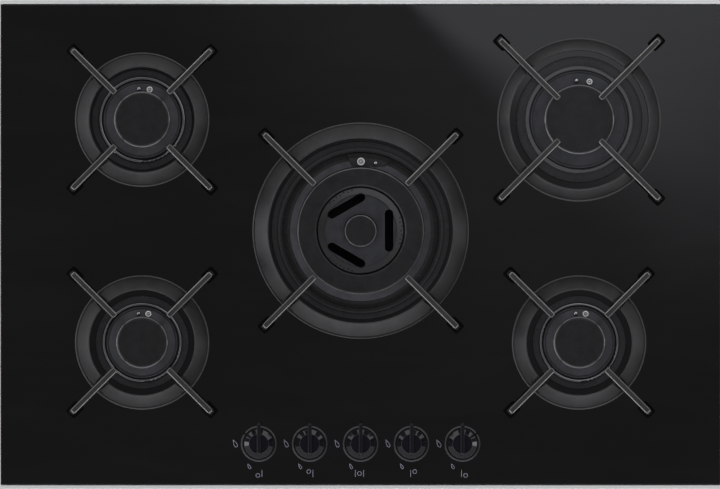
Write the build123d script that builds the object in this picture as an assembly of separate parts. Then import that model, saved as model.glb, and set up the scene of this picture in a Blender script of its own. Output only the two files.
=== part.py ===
"""A five-burner gas cooktop: black glass top, cast-iron pan supports, burners, knobs and gas train.

Millimetres, +Z up, +Y to the rear, +X to the right. The origin is on the underside of the casing,
below the centre of the glass. Heights named ..._Z count from there; heights named ..._UP count
from the upper face of the glass.
"""

from build123d import *

import math
import os
from dataclasses import dataclass

# ---------------------------------------------------------------- glass top, trims and seal
GLASS_WIDTH = 750.0
GLASS_DEPTH = 500.0
GLASS_THICKNESS = 6.0
GLASS_EDGE_BEVEL = 0.8
TRIM_WIDTH = 4.2             # metal edge trim along the front and rear of the glass
TRIM_SHADOW_GAP = 0.8        # dark line between trim and glass
TRIM_FOOT_REACH = 4.0        # foot of the trim under the glass
TRIM_FOOT_THICKNESS = 1.0
TRIM_BEVEL = 0.5
SEAL_THICKNESS = 3.0         # foam strip between the glass and the worktop
SEAL_WIDTH = 5.0
SEAL_INSET = 4.0             # strip to the edge of the glass

# ---------------------------------------------------------------- casing below the glass
BELOW_WORKTOP = 45.0         # casing depth under the worktop's face
SHEET = 1.2                  # pressed steel of the casing
CASING_CORNER = 5.0
CASING_FLANGE = 3.6          # flange bonded under the glass
CASING_SIDE_MARGIN = 50.5    # outer burner columns to the sides of the casing
CASING_FRONT_INSET = 14.0    # front edge of the glass to the casing
CASING_REAR_MARGIN = 84.0    # rear burner row to the back of the casing
VENT_LENGTH = 34.0
VENT_WIDTH = 4.0
VENT_PITCH = 12.0
VENTS_PER_GROUP = 5
DRILL_DEPTH = 8.0            # cutters through the casing's walls
RAIL_WIDTH = 26.0            # hat-section rails that carry the cups and taps
RAIL_HEIGHT = 8.8
RAIL_SHEET = 1.5
RAIL_FLANGE = 9.0
RAIL_OVERRUN = 34.0          # rail past the burner or tap at its end
RAIL_TAP_INSET = 1.0         # rail inside the taps' front and rear

# ---------------------------------------------------------------- where burners and knobs stand
COLUMN_SPREAD = 455.0        # between the outer burner columns
REAR_ROW_INSET = 120.0       # rear edge of the glass to the rear burners
KNOB_ROW_INSET = 42.5        # front edge of the glass to the knobs
FRONT_ROW_AHEAD = 105.5      # knobs to the front burners
WOK_AHEAD = 222.0            # knobs to the middle burner
KNOB_PITCH = 53.0

# ---------------------------------------------------------------- burner bases
BASE_HOLE_CLEARANCE = 0.6    # plug to the edge of the hole in the glass
BASE_RIM_WIDTH = 2.1
BASE_RIM_UP = 3.4
BASE_FLAT_UP = 2.6
BASE_BEAD_UP = 5.6
BASE_FLOOR = 2.0
BASE_RIM_ROUND = 1.0
BASE_STEP_ROUND = 0.5

# ---------------------------------------------------------------- burner crowns
CROWN_RIM_WIDTH = 1.6
CROWN_RIM_UP = 7.4
CROWN_GROOVE_WIDTH = 1.0
CROWN_GROOVE_UP = 5.8
DISH_OUTER_UP = 6.5
DISH_INNER_UP = 9.2
PORT_WALL_THICKNESS = 3.0
PORT_WALL_UP = 16.0
CAP_OVERHANG = 1.2           # cap past the port wall
CHAMBER_FLOOR_UP = 8.0
CROWN_WEB = 3.0              # metal between chamber floor and underside
CROWN_DRAFT = 1.0            # fall of the underside towards the rim
CROWN_EDGE_ROUND = 0.6
CROWN_DISH_ROUND = 0.8
PORT_WIDTH = 1.6
PORT_LOW_UP = 10.4
PORT_HEIGHT = 4.2
THROAT_RADIUS = 7.0          # bore of the mixing tube under the crown
THROAT_WALL = 2.0
THROAT_DROP = 10.0           # mixing tube below the face of the glass
SERVICE_CLEARANCE = 0.4      # crown to plug and probe

# ---------------------------------------------------------------- burner caps
CAP_THICKNESS = 4.8
CAP_SHOULDER_IN = 2.8        # edge to where the rounded shoulder starts
CAP_EDGE_DROP = 2.4
CAP_SHOULDER_ROUND = 2.0
CAP_EDGE_ROUND = 1.0
CAP_LOWER_BEVEL = 0.8
CAP_LOWER_ROUND = 0.4
CAP_RECESS = 1.2             # hollow inside the spigot
CAP_SPIGOT_DEPTH = 2.8
CAP_SPIGOT_WALL = 2.0
CAP_SPIGOT_CLEARANCE = 0.4
CAP_SPIGOT_ROUND = 0.5

# ---------------------------------------------------------------- the double-ring crown and its two caps
RING_CAP_INNER = 46.0        # bore of the ring-shaped cap
RING_WALL_UP = 18.0          # port walls under the ring cap
RING_PORT_LOW_UP = 12.4
RING_RIM_WIDTH = 3.2
RING_RIM_UP = 8.6            # foot of the slope outside the outer port wall
RING_SLOPE_UP = 11.6         # its head
RING_GROOVE_UP = 9.0         # groove between the inner port wall and the sloping ring
RING_CAP_INNER_DROP = 1.4
RING_CAP_INNER_BEVEL = 1.6
RING_CAP_SHOULDER_IN = 1.9
RING_CAP_SHOULDER_ROUND = 1.2
RING_CAP_INNER_ROUND = 0.8
SLOPE_RING_OUTER = 44.8      # sloping inner ring with the small ports
SLOPE_RING_WIDTH = 6.8
SLOPE_RING_UP = 16.4
SLOPE_RING_ROUND = 0.5
INNER_FLOOR_UP = 12.6
INNER_FLOOR_THICKNESS = 8.0
AIR_SLOT_LENGTH = 44.0
AIR_SLOT_WIDTH = 9.0
AIR_SLOT_RADIUS = 29.6       # centre of the burner to the middle of a slot
AIR_SLOT_COUNT = 3
GAS_DUCT_RADIUS = 2.4
PILOT_PORT_RADIUS = 0.8
PILOT_PORT_DEPTH = 3.0
PILOT_PORTS_PER_GROUP = 7
PILOT_PORT_STEP = 6.0        # degrees
PILOT_ROW_INSET = 1.8        # outer edge of the sloping ring to the ports
PILOT_ROW_STAGGER = 1.0
CENTRE_CAP_RADIUS = 17.2
CENTRE_CAP_BOSS_RADIUS = 14.0
CENTRE_CAP_BOSS_HEIGHT = 2.0
CENTRE_CAP_THICKNESS = 4.4
CENTRE_CAP_SHOULDER_IN = 1.2
CENTRE_CAP_EDGE_DROP = 1.6
CENTRE_CAP_ROUND = 0.8
CENTRE_CAP_LOWER_BEVEL = 0.6
CENTRE_CAP_LOWER_ROUND = 0.3
PLUG_PLATE_UP = 7.2          # raised plate that plug and probe stand in
PLUG_PLATE_LEFT = 9.0        # reach of its inner edge to each side of the burner's centre line
PLUG_PLATE_RIGHT = 25.4
PLUG_PLATE_FLARE_LEFT = 26.0 # degrees that its ends open outwards
PLUG_PLATE_FLARE_RIGHT = 41.0
PLUG_PLATE_FIT = 0.4

# ---------------------------------------------------------------- cups under the glass
CUP_FLANGE = 3.0
CUP_EDGE_CLEARANCE = 1.0     # cup to the edge of the hole in the glass
CUP_WALL = 2.5
CUP_FLOOR_Z = 20.0
CUP_BOSS_RADIUS = 9.0
CUP_NECK_ROUND = 1.0
CUP_OUTER_ROUND = 4.0
CUP_INNER_ROUND = 2.0
CUP_INLET_RADIUS = 6.0
CUP_INLET_REACH = 6.0        # inlet boss past the bowl
INJECTOR_HEX = 7.0
INJECTOR_HEIGHT = 8.0
INJECTOR_BORE = 0.6
INJECTOR_NECK_IN = 0.8       # hexagon to the round nose
INJECTOR_NOSE_HEIGHT = 1.5
INJECTOR_TIP_RADIUS = 1.2
BURNER_SCREW_RADIUS = 2.0
BURNER_SCREW_HEAD_RADIUS = 3.4
BURNER_SCREW_HEAD = 1.8
BURNER_SCREW_LENGTH = 7.0
BURNER_SCREW_FIT = 0.1
BURNER_SCREWS_PER_BURNER = 3
BURNER_SCREW_FIRST_TURN = 60.0

# ---------------------------------------------------------------- spark plugs and probes
PLUG_RADIUS = 3.1
WOK_PLUG_RADIUS = 3.9
PLUG_TOP_UP = 13.2
PLUG_CUP_DEPTH = 1.6         # recess in the ceramic round the electrode
PLUG_CUP_WALL = 1.0
PLUG_COLLAR = 1.2
PLUG_COLLAR_HEIGHT = 3.0
PLUG_TAIL_RADIUS = 2.2
PLUG_TAIL_Z = 40.0
PLUG_SEAT = 0.1              # plug to its hole
PLUG_OUTER_ROUND = 0.4
PLUG_INNER_ROUND = 0.3
ELECTRODE_RADIUS = 0.9
ELECTRODE_STAND = 1.1
ELECTRODE_ROUND = 0.54
PROBE_RADIUS = 2.0
PROBE_TOP_UP = 14.0
PROBE_TAIL_Z = 44.0
PROBE_LEAD_RADIUS = 1.2
PROBE_LEAD_BEND = 9.0
PROBE_TIP_ROUND = 1.4

# ---------------------------------------------------------------- pan supports
SUPPORT_TOP_UP = 38.0
SUPPORT_RING_BASE_UP = 1.0
SUPPORT_RIM_UP = 2.8
SUPPORT_RIM_WIDTH = 1.8
SUPPORT_RIM_GROOVE = 0.6
SUPPORT_RIDGE_UP = 14.5
SUPPORT_RIDGE_WIDTH = 1.4
SUPPORT_RING_WALL = 3.2
SUPPORT_POCKET_FLOOR_UP = 4.0
SUPPORT_RIM_ROUND = 0.9
SUPPORT_GROOVE_DEPTH = 0.7
SUPPORT_GROOVE_INNER_ROUND = 0.3
SUPPORT_GROOVE_OUTER_ROUND = 0.2
SUPPORT_RIDGE_ROUND = 1.2
SUPPORT_INNER_ROUND = 0.6
SUPPORT_ROOF_DROP = 5.1      # ridge to the hollow under it
POCKET_FLOOR_INSET = 0.2
POCKET_CUT_PAST = 1.0
POCKET_INNER_WIDTH = 12.4    # pocket in the ring beside each arm
POCKET_OUTER_WIDTH = 8.6
ARM_WIDTH = 6.5
ARM_BEVEL = 1.2
ARM_TIP_DEPTH = 7.5
ARM_ROOT_DEPTH = 12.5
ARM_END_ROUND = 5.0
ARM_CORNER_ROUND = 4.0
ARM_TIP_UNDER_ROUND = 1.5
ARM_TIP_TOP_ROUND = 1.8
ARM_WEB_INSET = 2.6          # ring's inner wall to the web
ARM_WEB_FLARE = 3.0          # spread of the web's head
ARM_WEB_TOE = 2.0
ARM_WEB_DIP = 1.0
ARM_WEB_LIFT = 0.6           # ring's foot to the web's foot
ARM_LEG_WIDTH = 9.5
ARM_COUNT = 4
ARM_FIRST_ANGLE = 45.0
FOOT_LENGTH = 15.8
FOOT_WIDTH = 12.2
FOOT_HEIGHT = 8.0
FOOT_PAST_ARM = 3.0
FOOT_SOLE = 2.5              # rubber under the arm
FOOT_FIT = 0.05
FOOT_CORNER = 2.4
FOOT_BEVEL = 0.8

# ---------------------------------------------------------------- knobs, bezels, spindles and collars
KNOB_TRAVEL = 3.0
KNOB_RADIUS = 15.3
KNOB_CONE_TOP_RADIUS = 10.3
KNOB_BOTTOM_UP = 3.4
KNOB_SKIRT_TOP_UP = 9.5      # foot of the cone
KNOB_HUB_GAP = 1.0           # hub inside the skirt's foot
KNOB_FOOT_ROUND = 0.4
KNOB_CONE_FOOT_ROUND = 1.2
KNOB_CONE_HEAD_ROUND = 0.3
KNOB_TOP_UP = 14.0
KNOB_DISC_DROP = 0.8         # round face sunk inside the cone
KNOB_DISC_RADIUS = 9.9
KNOB_HUB_RADIUS = 7.0
KNOB_SHELL = 2.0
KNOB_BORE_FIT = 0.03
BLADE_WIDTH = 4.3
BLADE_TOP_UP = 20.0
BLADE_REAR = 24.9            # pointer end, from the spindle
BLADE_FRONT = 12.2
BLADE_TIP_UP = 14.6
BLADE_UNDER_UP = 8.2         # underside of the pointer past the skirt
BLADE_ROUND = 2.0
BLADE_RIDGE_ROUND = 1.3
BLADE_RIDGE_CLEAR = 0.5      # rounded edges start this far over the face
BEZEL_RADIUS = 18.85
BEZEL_BORE = 16.4
BEZEL_OUTER_UP = 1.4
BEZEL_INNER_UP = 2.6
BEZEL_OUTER_ROUND = 0.6
BEZEL_INNER_ROUND = 0.5
SPINDLE_RADIUS = 4.0
SPINDLE_FIT = 0.05           # running clearance in tap and collar
SPINDLE_TOP_UP = 11.0
SPINDLE_FLAT_DEPTH = 1.2
SPINDLE_FLAT_LENGTH = 9.0
SPINDLE_SHOULDER_RADIUS = 5.6
SPINDLE_SHOULDER_HEIGHT = 1.4
SPINDLE_TIP_IN_TAP = 12.0
SPINDLE_HOLE_RADIUS = 6.8    # hole in the glass
SPINDLE_BEVEL = 0.5
COLLAR_RADIUS = 8.0
COLLAR_HEIGHT = 4.0
COLLAR_TOP_Z = 44.0
COLLAR_ARM_REACH = 16.0
COLLAR_ARM_WIDTH = 5.0
COLLAR_ARM_THICKNESS = 2.0

# ---------------------------------------------------------------- gas taps, manifold, tubes and inlet
TAP_WIDTH = 24.0
TAP_DEPTH = 26.0
TAP_TOP_Z = 32.0
TAP_BONNET_RADIUS = 9.0
TAP_BONNET_HEIGHT = 4.0
TAP_BEVEL = 1.5
TAP_ROOT = 1.0               # outlets start this far inside the body
TAP_BORE_SPARE = 1.0         # bore below the pushed spindle
TAP_OUTLET_X = -6.0          # outlet and magnet unit, from the spindle
TAP_OUTLET_RADIUS = 5.5
TAP_OUTLET_LENGTH = 8.0
MAGNET_X = 5.0
MAGNET_Z = 24.5
MAGNET_RADIUS = 6.0
MAGNET_LENGTH = 20.0
TUBE_RADIUS = 4.0
TUBE_Z = 16.0
TUBE_BEND = 16.0
WOK_TUBE_BEND = 8.0
TUBE_LANE_OFFSET = 20.0      # middle lane to the tubes of the rear burners
TUBE_TURN_IN = 24.0          # front burner row to where those tubes leave their taps' line
TUBE_LANE_START = 48.0       # front burner row to where they reach their lane
TUBE_SIDESTEP = 12.0         # half the length of the middle tube's sidestep
TUBE_ROW_SHIFT = 6.0         # front tubes ahead of the middle of their way
MANIFOLD_RADIUS = 6.0
MANIFOLD_BEND = 22.0
MANIFOLD_SADDLE = 16.0
MANIFOLD_SADDLE_DEPTH = 0.9  # flat saddle past the tube, against the tap
MANIFOLD_OVERRUN = 16.0
MANIFOLD_SIDE_GAP = 10.0     # manifold to the side of the casing
INLET_THREAD_RADIUS = 10.48  # G 1/2 male thread
INLET_THREAD_LENGTH = 20.0
INLET_NECK_RADIUS = 10.0     # in the hole of the casing
INLET_BORE = 6.5
INLET_HEX = 12.0
INLET_HEX_LENGTH = 14.0
INLET_BACK = 3.0             # metal behind the bore
INLET_HOLE_CLEARANCE = 0.4

# ---------------------------------------------------------------- switches, ignition, gland
SWITCH_WIDTH = 7.0
SWITCH_DEPTH = 14.0
SWITCH_HEIGHT = 13.6
SWITCH_PLUNGER_RADIUS = 1.2
SWITCH_PLUNGER_GAP = 0.3     # plunger to the collar's arm when the knob is down
SWITCH_PLUNGER_UP = 0.7
SWITCH_PLUNGER_ROOT = 1.0
IGNITER_LENGTH = 96.0
IGNITER_DEPTH = 34.0
IGNITER_HEIGHT = 26.0
IGNITER_Y_INSET = 26.0       # rear burner row to the middle of the unit
IGNITER_CORNER = 3.0
IGNITER_OUTLET_RADIUS = 3.0
IGNITER_OUTLET_HEIGHT = 1.5
IGNITER_OUTLET_ROOT = 1.0
LEAD_RADIUS = 1.5
LEAD_Z = 35.5
LEAD_BEND = 4.1
LEAD_LANE_OFFSET = 29.0      # middle lane to the ignition leads of the front burners
LEAD_LANE_START = 12.0       # rear burner row to where they reach their lane
LEAD_ROW_BEHIND = 54.0       # front burner row to where they come over their plugs
LEAD_REAR_STEP = 20.0        # ignition unit to the rear leads' first bend
LEAD_REAR_REACH = 28.0       # and to their second
LANE_END_BEHIND = 62.0       # front burner row to the front ends of the lanes
PROBE_STEP_SIDE = 48.0       # burner to the bend of its probe's lead
PROBE_STEP_BACK = 14.0
PROBE_LANE_START = 10.0      # burner row to where a probe's lead reaches its lane
WOK_LANE_GAP = 24.0          # middle bowl to its probe's lead
WOK_LANE_DRAW_IN = 6.4
GLAND_RADIUS = 9.0
GLAND_BORE = 4.0
GLAND_LENGTH = 16.0
GLAND_NUT_RADIUS = 11.0
GLAND_NUT_LENGTH = 4.0
GLAND_COLLAR_LENGTH = 3.0
GLAND_X = -150.0
GLAND_Z = 24.0

# ---------------------------------------------------------------- worktop clamps and screws
CLAMP_WIDTH = 20.0
CLAMP_SHEET = 2.0
CLAMP_HEIGHT = 24.0
CLAMP_REACH = 22.0
CLAMP_LIFT = 2.0
CLAMP_SCREW_UP = 18.0        # clamp's leg to its screw
CLAMP_Y_INSET = 70.0         # casing end to the clamp's middle
JACK_SCREW_RADIUS = 2.5
JACK_SCREW_LENGTH = 24.0
JACK_TIP_RADIUS = 5.0
JACK_TIP_THICKNESS = 2.0
JACK_DROP = 1.0              # screw past the clamp's leg
JACK_EDGE_GAP = 2.0          # jack screw's edge plate to the end of the leg
SCREW_RADIUS = 1.5
SCREW_HEAD_RADIUS = 3.2
SCREW_HEAD = 1.8
SCREW_LENGTH = 4.0
FLOOR_SCREW_LENGTH = 2.6     # ends flush in the casing's floor
THREAD_FIT = 0.03            # screw in its thread
TINY = 0.1                   # slack when edges are picked by their place

# ---------------------------------------------------------------- heights and places that follow
WORKTOP_Z = BELOW_WORKTOP
GLASS_UNDER_Z = WORKTOP_Z + SEAL_THICKNESS
GLASS_Z = GLASS_UNDER_Z + GLASS_THICKNESS
COLUMN_X = COLUMN_SPREAD / 2
REAR_ROW_Y = GLASS_DEPTH / 2 - REAR_ROW_INSET
KNOB_ROW_Y = KNOB_ROW_INSET - GLASS_DEPTH / 2
FRONT_ROW_Y = KNOB_ROW_Y + FRONT_ROW_AHEAD
WOK_Y = KNOB_ROW_Y + WOK_AHEAD
CASING_HALF_WIDTH = COLUMN_X + CASING_SIDE_MARGIN
CASING_FRONT_Y = CASING_FRONT_INSET - GLASS_DEPTH / 2
CASING_REAR_Y = REAR_ROW_Y + CASING_REAR_MARGIN
CASING_MID_Y = (CASING_FRONT_Y + CASING_REAR_Y) / 2
RAIL_TOP_Z = SHEET + RAIL_HEIGHT
MANIFOLD_Y = KNOB_ROW_Y - TAP_DEPTH / 2 - MANIFOLD_SADDLE_DEPTH - MANIFOLD_RADIUS
MANIFOLD_Z = (RAIL_TOP_Z + TAP_TOP_Z) / 2
INLET_X = CASING_HALF_WIDTH - SHEET - MANIFOLD_SIDE_GAP - MANIFOLD_RADIUS
KNOB_COUNT = 5


@dataclass(frozen=True)
class Burner:
    """The sizes that set one burner and its pan support apart. Turns are clockwise from the rear."""

    name: str
    x: float
    y: float
    cap_radius: float
    dish_width: float        # sloping skirt of the crown outside the cap
    bead_gap: float          # crown to the base's inner bead
    bead_width: float
    bead_round: float
    base_flat: float
    port_count: int
    bowl_radius: float
    plug_radius: float
    plug_turn: float
    probe_turn: float
    plug_stand_off: float    # plug past the edge of the cap
    support_gap: float       # base to the ring of the pan support
    band_width: float        # flared band of that ring
    arm_overhang: float      # arm past the ring
    tip_radius: float        # inner ends of the arms
    inlet_turn: float        # way the gas tube comes in
    lead_turn_in: float      # front burner row to where its probe's lead meets its tap's line

    @property
    def crown_radius(self):
        return self.cap_radius + self.dish_width + CROWN_GROOVE_WIDTH + CROWN_RIM_WIDTH

    @property
    def bead_inner(self):
        return self.crown_radius + self.bead_gap

    @property
    def bead_outer(self):
        return self.bead_inner + self.bead_width

    @property
    def base_radius(self):
        return self.bead_outer + self.base_flat + BASE_RIM_WIDTH

    @property
    def plug_orbit(self):
        return self.cap_radius + self.plug_stand_off

    @property
    def hole_radius(self):
        return self.plug_orbit + self.plug_radius + PLUG_COLLAR + BASE_HOLE_CLEARANCE

    @property
    def cup_radius(self):
        return self.hole_radius - CUP_EDGE_CLEARANCE

    @property
    def ring_inner(self):
        return self.base_radius + self.support_gap

    @property
    def ring_outer(self):
        return self.ring_inner + self.band_width

    @property
    def arm_end(self):
        return self.ring_outer + self.arm_overhang

    @property
    def inlet_end(self):
        return self.bowl_radius + CUP_INLET_REACH

    def place(self, shape):
        """Set a shape modelled round the Z axis, up from the glass, at the burner."""
        return Pos(self.x, self.y, GLASS_Z) * shape

    def around(self, radius, turn):
        """The point at a radius and a clockwise turn from the rear, from the burner's centre."""
        angle = math.radians(90.0 - turn)
        return radius * math.cos(angle), radius * math.sin(angle)

    @property
    def plug_spot(self):
        return self.around(self.plug_orbit, self.plug_turn)

    @property
    def probe_spot(self):
        return self.around(self.plug_orbit, self.probe_turn)


SEMI_REAR = Burner(
    name="rear_left", x=-COLUMN_X, y=REAR_ROW_Y,
    cap_radius=29.6, dish_width=7.9, bead_gap=1.0, bead_width=4.2, bead_round=1.9, base_flat=5.2,
    port_count=32, bowl_radius=23.0, plug_radius=PLUG_RADIUS,
    plug_turn=14.3, probe_turn=-5.6, plug_stand_off=2.6,
    support_gap=2.1, band_width=15.3, arm_overhang=34.0, tip_radius=38.5, inlet_turn=90.0,
    lead_turn_in=6.0,
)
SEMI_FRONT_LEFT = Burner(
    name="front_left", x=-COLUMN_X, y=FRONT_ROW_Y,
    cap_radius=27.4, dish_width=7.0, bead_gap=1.0, bead_width=3.7, bead_round=1.7, base_flat=5.0,
    port_count=30, bowl_radius=21.5, plug_radius=PLUG_RADIUS,
    plug_turn=12.5, probe_turn=-6.7, plug_stand_off=3.1,
    support_gap=5.9, band_width=15.3, arm_overhang=34.0, tip_radius=38.5, inlet_turn=180.0,
    lead_turn_in=30.0,
)
SEMI_FRONT_RIGHT = Burner(
    name="front_right", x=COLUMN_X, y=FRONT_ROW_Y,
    cap_radius=27.4, dish_width=7.0, bead_gap=1.0, bead_width=3.7, bead_round=1.7, base_flat=5.0,
    port_count=30, bowl_radius=21.5, plug_radius=PLUG_RADIUS,
    plug_turn=12.5, probe_turn=-6.7, plug_stand_off=3.1,
    support_gap=5.9, band_width=15.3, arm_overhang=34.0, tip_radius=38.5, inlet_turn=180.0,
    lead_turn_in=30.0,
)
RAPID = Burner(
    name="rear_right", x=COLUMN_X, y=REAR_ROW_Y,
    cap_radius=36.7, dish_width=11.1, bead_gap=1.2, bead_width=4.6, bead_round=1.2, base_flat=7.6,
    port_count=40, bowl_radius=25.0, plug_radius=PLUG_RADIUS,
    plug_turn=15.2, probe_turn=-3.8, plug_stand_off=4.2,
    support_gap=6.2, band_width=13.1, arm_overhang=33.8, tip_radius=30.0, inlet_turn=-90.0,
    lead_turn_in=6.0,
)
WOK = Burner(
    name="wok", x=0.0, y=WOK_Y,
    cap_radius=66.5, dish_width=4.4, bead_gap=7.5, bead_width=5.5, bead_round=0.9, base_flat=4.4,
    port_count=72, bowl_radius=40.0, plug_radius=WOK_PLUG_RADIUS,
    plug_turn=0.3, probe_turn=12.6, plug_stand_off=5.3,
    support_gap=3.0, band_width=16.7, arm_overhang=31.3, tip_radius=67.2, inlet_turn=180.0,
    lead_turn_in=14.0,
)
SINGLE_RING = [SEMI_REAR, SEMI_FRONT_LEFT, SEMI_FRONT_RIGHT, RAPID]
BURNERS = SINGLE_RING + [WOK]
KNOB_BURNERS = [SEMI_FRONT_LEFT, SEMI_REAR, WOK, RAPID, SEMI_FRONT_RIGHT]   # left to right
FRONT_BURNERS = [SEMI_FRONT_LEFT, SEMI_FRONT_RIGHT]
LANE_X = (WOK.bowl_radius + COLUMN_X - RAPID.bowl_radius) / 2    # lane between the bowls


# ================================================================ shared shapes
def turned(corners):
    """Turn an outline of (radius, height, corner round) about the Z axis."""
    points = [(radius, 0.0, height) for radius, height, _ in corners]
    rounds = [corner_round for _, _, corner_round in corners]
    outline = FilletPolyline(*points, radius=rounds, close=True)
    return revolve(make_face(outline.edges()), axis=Axis.Z)


def plate(corners, thickness):
    """A plate on edge: an outline of (x, z, corner round), as thick as asked about the XZ plane."""
    points = [(x, 0.0, z) for x, z, _ in corners]
    rounds = [corner_round for _, _, corner_round in corners]
    outline = FilletPolyline(*points, radius=rounds, close=True)
    return extrude(make_face(outline.edges()), amount=thickness / 2, dir=(0, 1, 0), both=True)


def column(radius, low, high):
    """An upright cylinder between two heights."""
    return Pos(0, 0, low) * Cylinder(radius, high - low, align=(Align.CENTER, Align.CENTER, Align.MIN))


def block(low, high):
    """A box between its lowest and its highest corner."""
    sizes = [top - bottom for bottom, top in zip(low, high)]
    return Pos(*low) * Box(*sizes, align=(Align.MIN, Align.MIN, Align.MIN))


def tube_along(points, radius, bend):
    """A round bar along straight runs joined by arcs."""
    corner_count = len(points) - 2
    if corner_count:
        path = FilletPolyline(*points, radius=[bend] * corner_count)
    else:
        path = Line(*points)
    start = Plane(origin=path @ 0, z_dir=path % 0)
    return sweep(start * Circle(radius), path=path)


def pan_screw(radius, length, head_radius, head_height):
    """A screw pointing down, with the underside of its head at height 0."""
    head = column(head_radius, 0, head_height)
    rim = head.edges().sort_by(Axis.Z)[-1]
    return fillet(rim, head_height / 2) + column(radius, -length, 0)


def write(name, shape):
    """Write one node: a single solid, or a group of separate solids."""
    solids = list(shape) if isinstance(shape, (list, tuple)) else [shape]
    pieces = [solid for item in solids for solid in item.solids()]
    node = pieces[0] if len(pieces) == 1 else Compound(children=pieces)
    node.label = name
    export_step(node, f"parts/{name}.step")


# ================================================================ glass, trims, seal
def knob_x(index):
    return (index - (KNOB_COUNT - 1) / 2) * KNOB_PITCH


def glass_top():
    """The glass plate with a hole for each burner and each spindle."""
    glass = Pos(0, 0, GLASS_UNDER_Z) * Box(
        GLASS_WIDTH, GLASS_DEPTH, GLASS_THICKNESS, align=(Align.CENTER, Align.CENTER, Align.MIN)
    )
    upper_sides = glass.faces().sort_by(Axis.Z)[-1].edges()
    glass = chamfer(upper_sides, GLASS_EDGE_BEVEL)
    drills = [
        Pos(burner.x, burner.y, 0) * column(burner.hole_radius, 0, GLASS_Z + GLASS_THICKNESS)
        for burner in BURNERS
    ]
    drills += [
        Pos(knob_x(index), KNOB_ROW_Y, 0) * column(SPINDLE_HOLE_RADIUS, 0, GLASS_Z + GLASS_THICKNESS)
        for index in range(KNOB_COUNT)
    ]
    return glass - drills


def edge_trims():
    """The two metal trims: a web beside the glass, level with it, and a foot under it."""
    glass_edge = GLASS_DEPTH / 2
    outer = glass_edge + TRIM_SHADOW_GAP + TRIM_WIDTH
    inner = glass_edge + TRIM_SHADOW_GAP
    foot_low = GLASS_UNDER_Z - TRIM_FOOT_THICKNESS
    section = [
        (outer, foot_low),
        (outer, GLASS_Z - TRIM_BEVEL),
        (outer - TRIM_BEVEL, GLASS_Z),
        (inner + TRIM_BEVEL, GLASS_Z),
        (inner, GLASS_Z - TRIM_BEVEL),
        (inner, GLASS_UNDER_Z),
        (inner - TRIM_FOOT_REACH, GLASS_UNDER_Z),
        (inner - TRIM_FOOT_REACH, foot_low),
    ]
    outline = Polyline(*[(0.0, y, z) for y, z in section], close=True)
    rear = extrude(make_face(outline.edges()), amount=GLASS_WIDTH / 2, dir=(1, 0, 0), both=True)
    return [rear, Rot(0, 0, 180) * rear]


def worktop_seal():
    """Four foam strips under the edge of the glass, butted at the corners."""
    outer_x = GLASS_WIDTH / 2 - SEAL_INSET
    outer_y = GLASS_DEPTH / 2 - SEAL_INSET
    inner_x = outer_x - SEAL_WIDTH
    inner_y = outer_y - SEAL_WIDTH
    rear = block((-outer_x, inner_y, WORKTOP_Z), (outer_x, outer_y, GLASS_UNDER_Z))
    right = block((inner_x, -inner_y, WORKTOP_Z), (outer_x, inner_y, GLASS_UNDER_Z))
    half_turn = Rot(0, 0, 180)
    return [rear, right, half_turn * rear, half_turn * right]


# ================================================================ casing and rails
def rails():
    """Plan rectangles (x0, y0, x1, y1) of the rails: one under each column of burners, one under the taps."""
    half = RAIL_WIDTH / 2
    low_y = FRONT_ROW_Y - RAIL_OVERRUN
    high_y = REAR_ROW_Y + RAIL_OVERRUN
    tap_reach = knob_x(KNOB_COUNT - 1) + RAIL_OVERRUN / 2
    spans = [(x - half, low_y, x + half, high_y) for x in (-COLUMN_X, COLUMN_X)]
    spans.append((-half, WOK_Y - WOK.bowl_radius, half, WOK_Y + WOK.bowl_radius))
    tap_half = TAP_DEPTH / 2 - RAIL_TAP_INSET
    spans.append((-tap_reach, KNOB_ROW_Y - tap_half, tap_reach, KNOB_ROW_Y + tap_half))
    return spans


def rail_screw_spots():
    """Two screws at opposite corners of each rail, through its foot flanges."""
    spots = []
    inset = RAIL_FLANGE / 2
    for x0, y0, x1, y1 in rails():
        if y1 - y0 > x1 - x0:
            spots.append((x0 - inset, y0 + RAIL_FLANGE))
            spots.append((x1 + inset, y1 - RAIL_FLANGE))
        else:
            spots.append((x0 + RAIL_FLANGE, y1 + inset))
            spots.append((x1 - RAIL_FLANGE, y1 + inset))
    return spots


def clamp_spots():
    """Where the worktop clamps stand: (side of the casing, y)."""
    return [
        (side, y)
        for side in (-1, 1)
        for y in (CASING_FRONT_Y + CLAMP_Y_INSET, CASING_REAR_Y - CLAMP_Y_INSET)
    ]


def clamp_screw_z():
    return CLAMP_LIFT + CLAMP_SCREW_UP


def vent_slots():
    """Groups of vent slots between the burner columns."""
    slot = SlotOverall(VENT_LENGTH, VENT_WIDTH)
    cutter = extrude(slot, amount=SHEET * 2, both=True)
    middle = (VENTS_PER_GROUP - 1) / 2
    group_x = COLUMN_X / 2
    rear_group_y = REAR_ROW_Y - VENT_LENGTH / 2
    cutters = []
    for x in (-group_x, group_x):
        for y in (FRONT_ROW_Y, rear_group_y):
            for row in range(VENTS_PER_GROUP):
                cutters.append(Pos(x, y + (row - middle) * VENT_PITCH, 0) * cutter)
    return cutters


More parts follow.
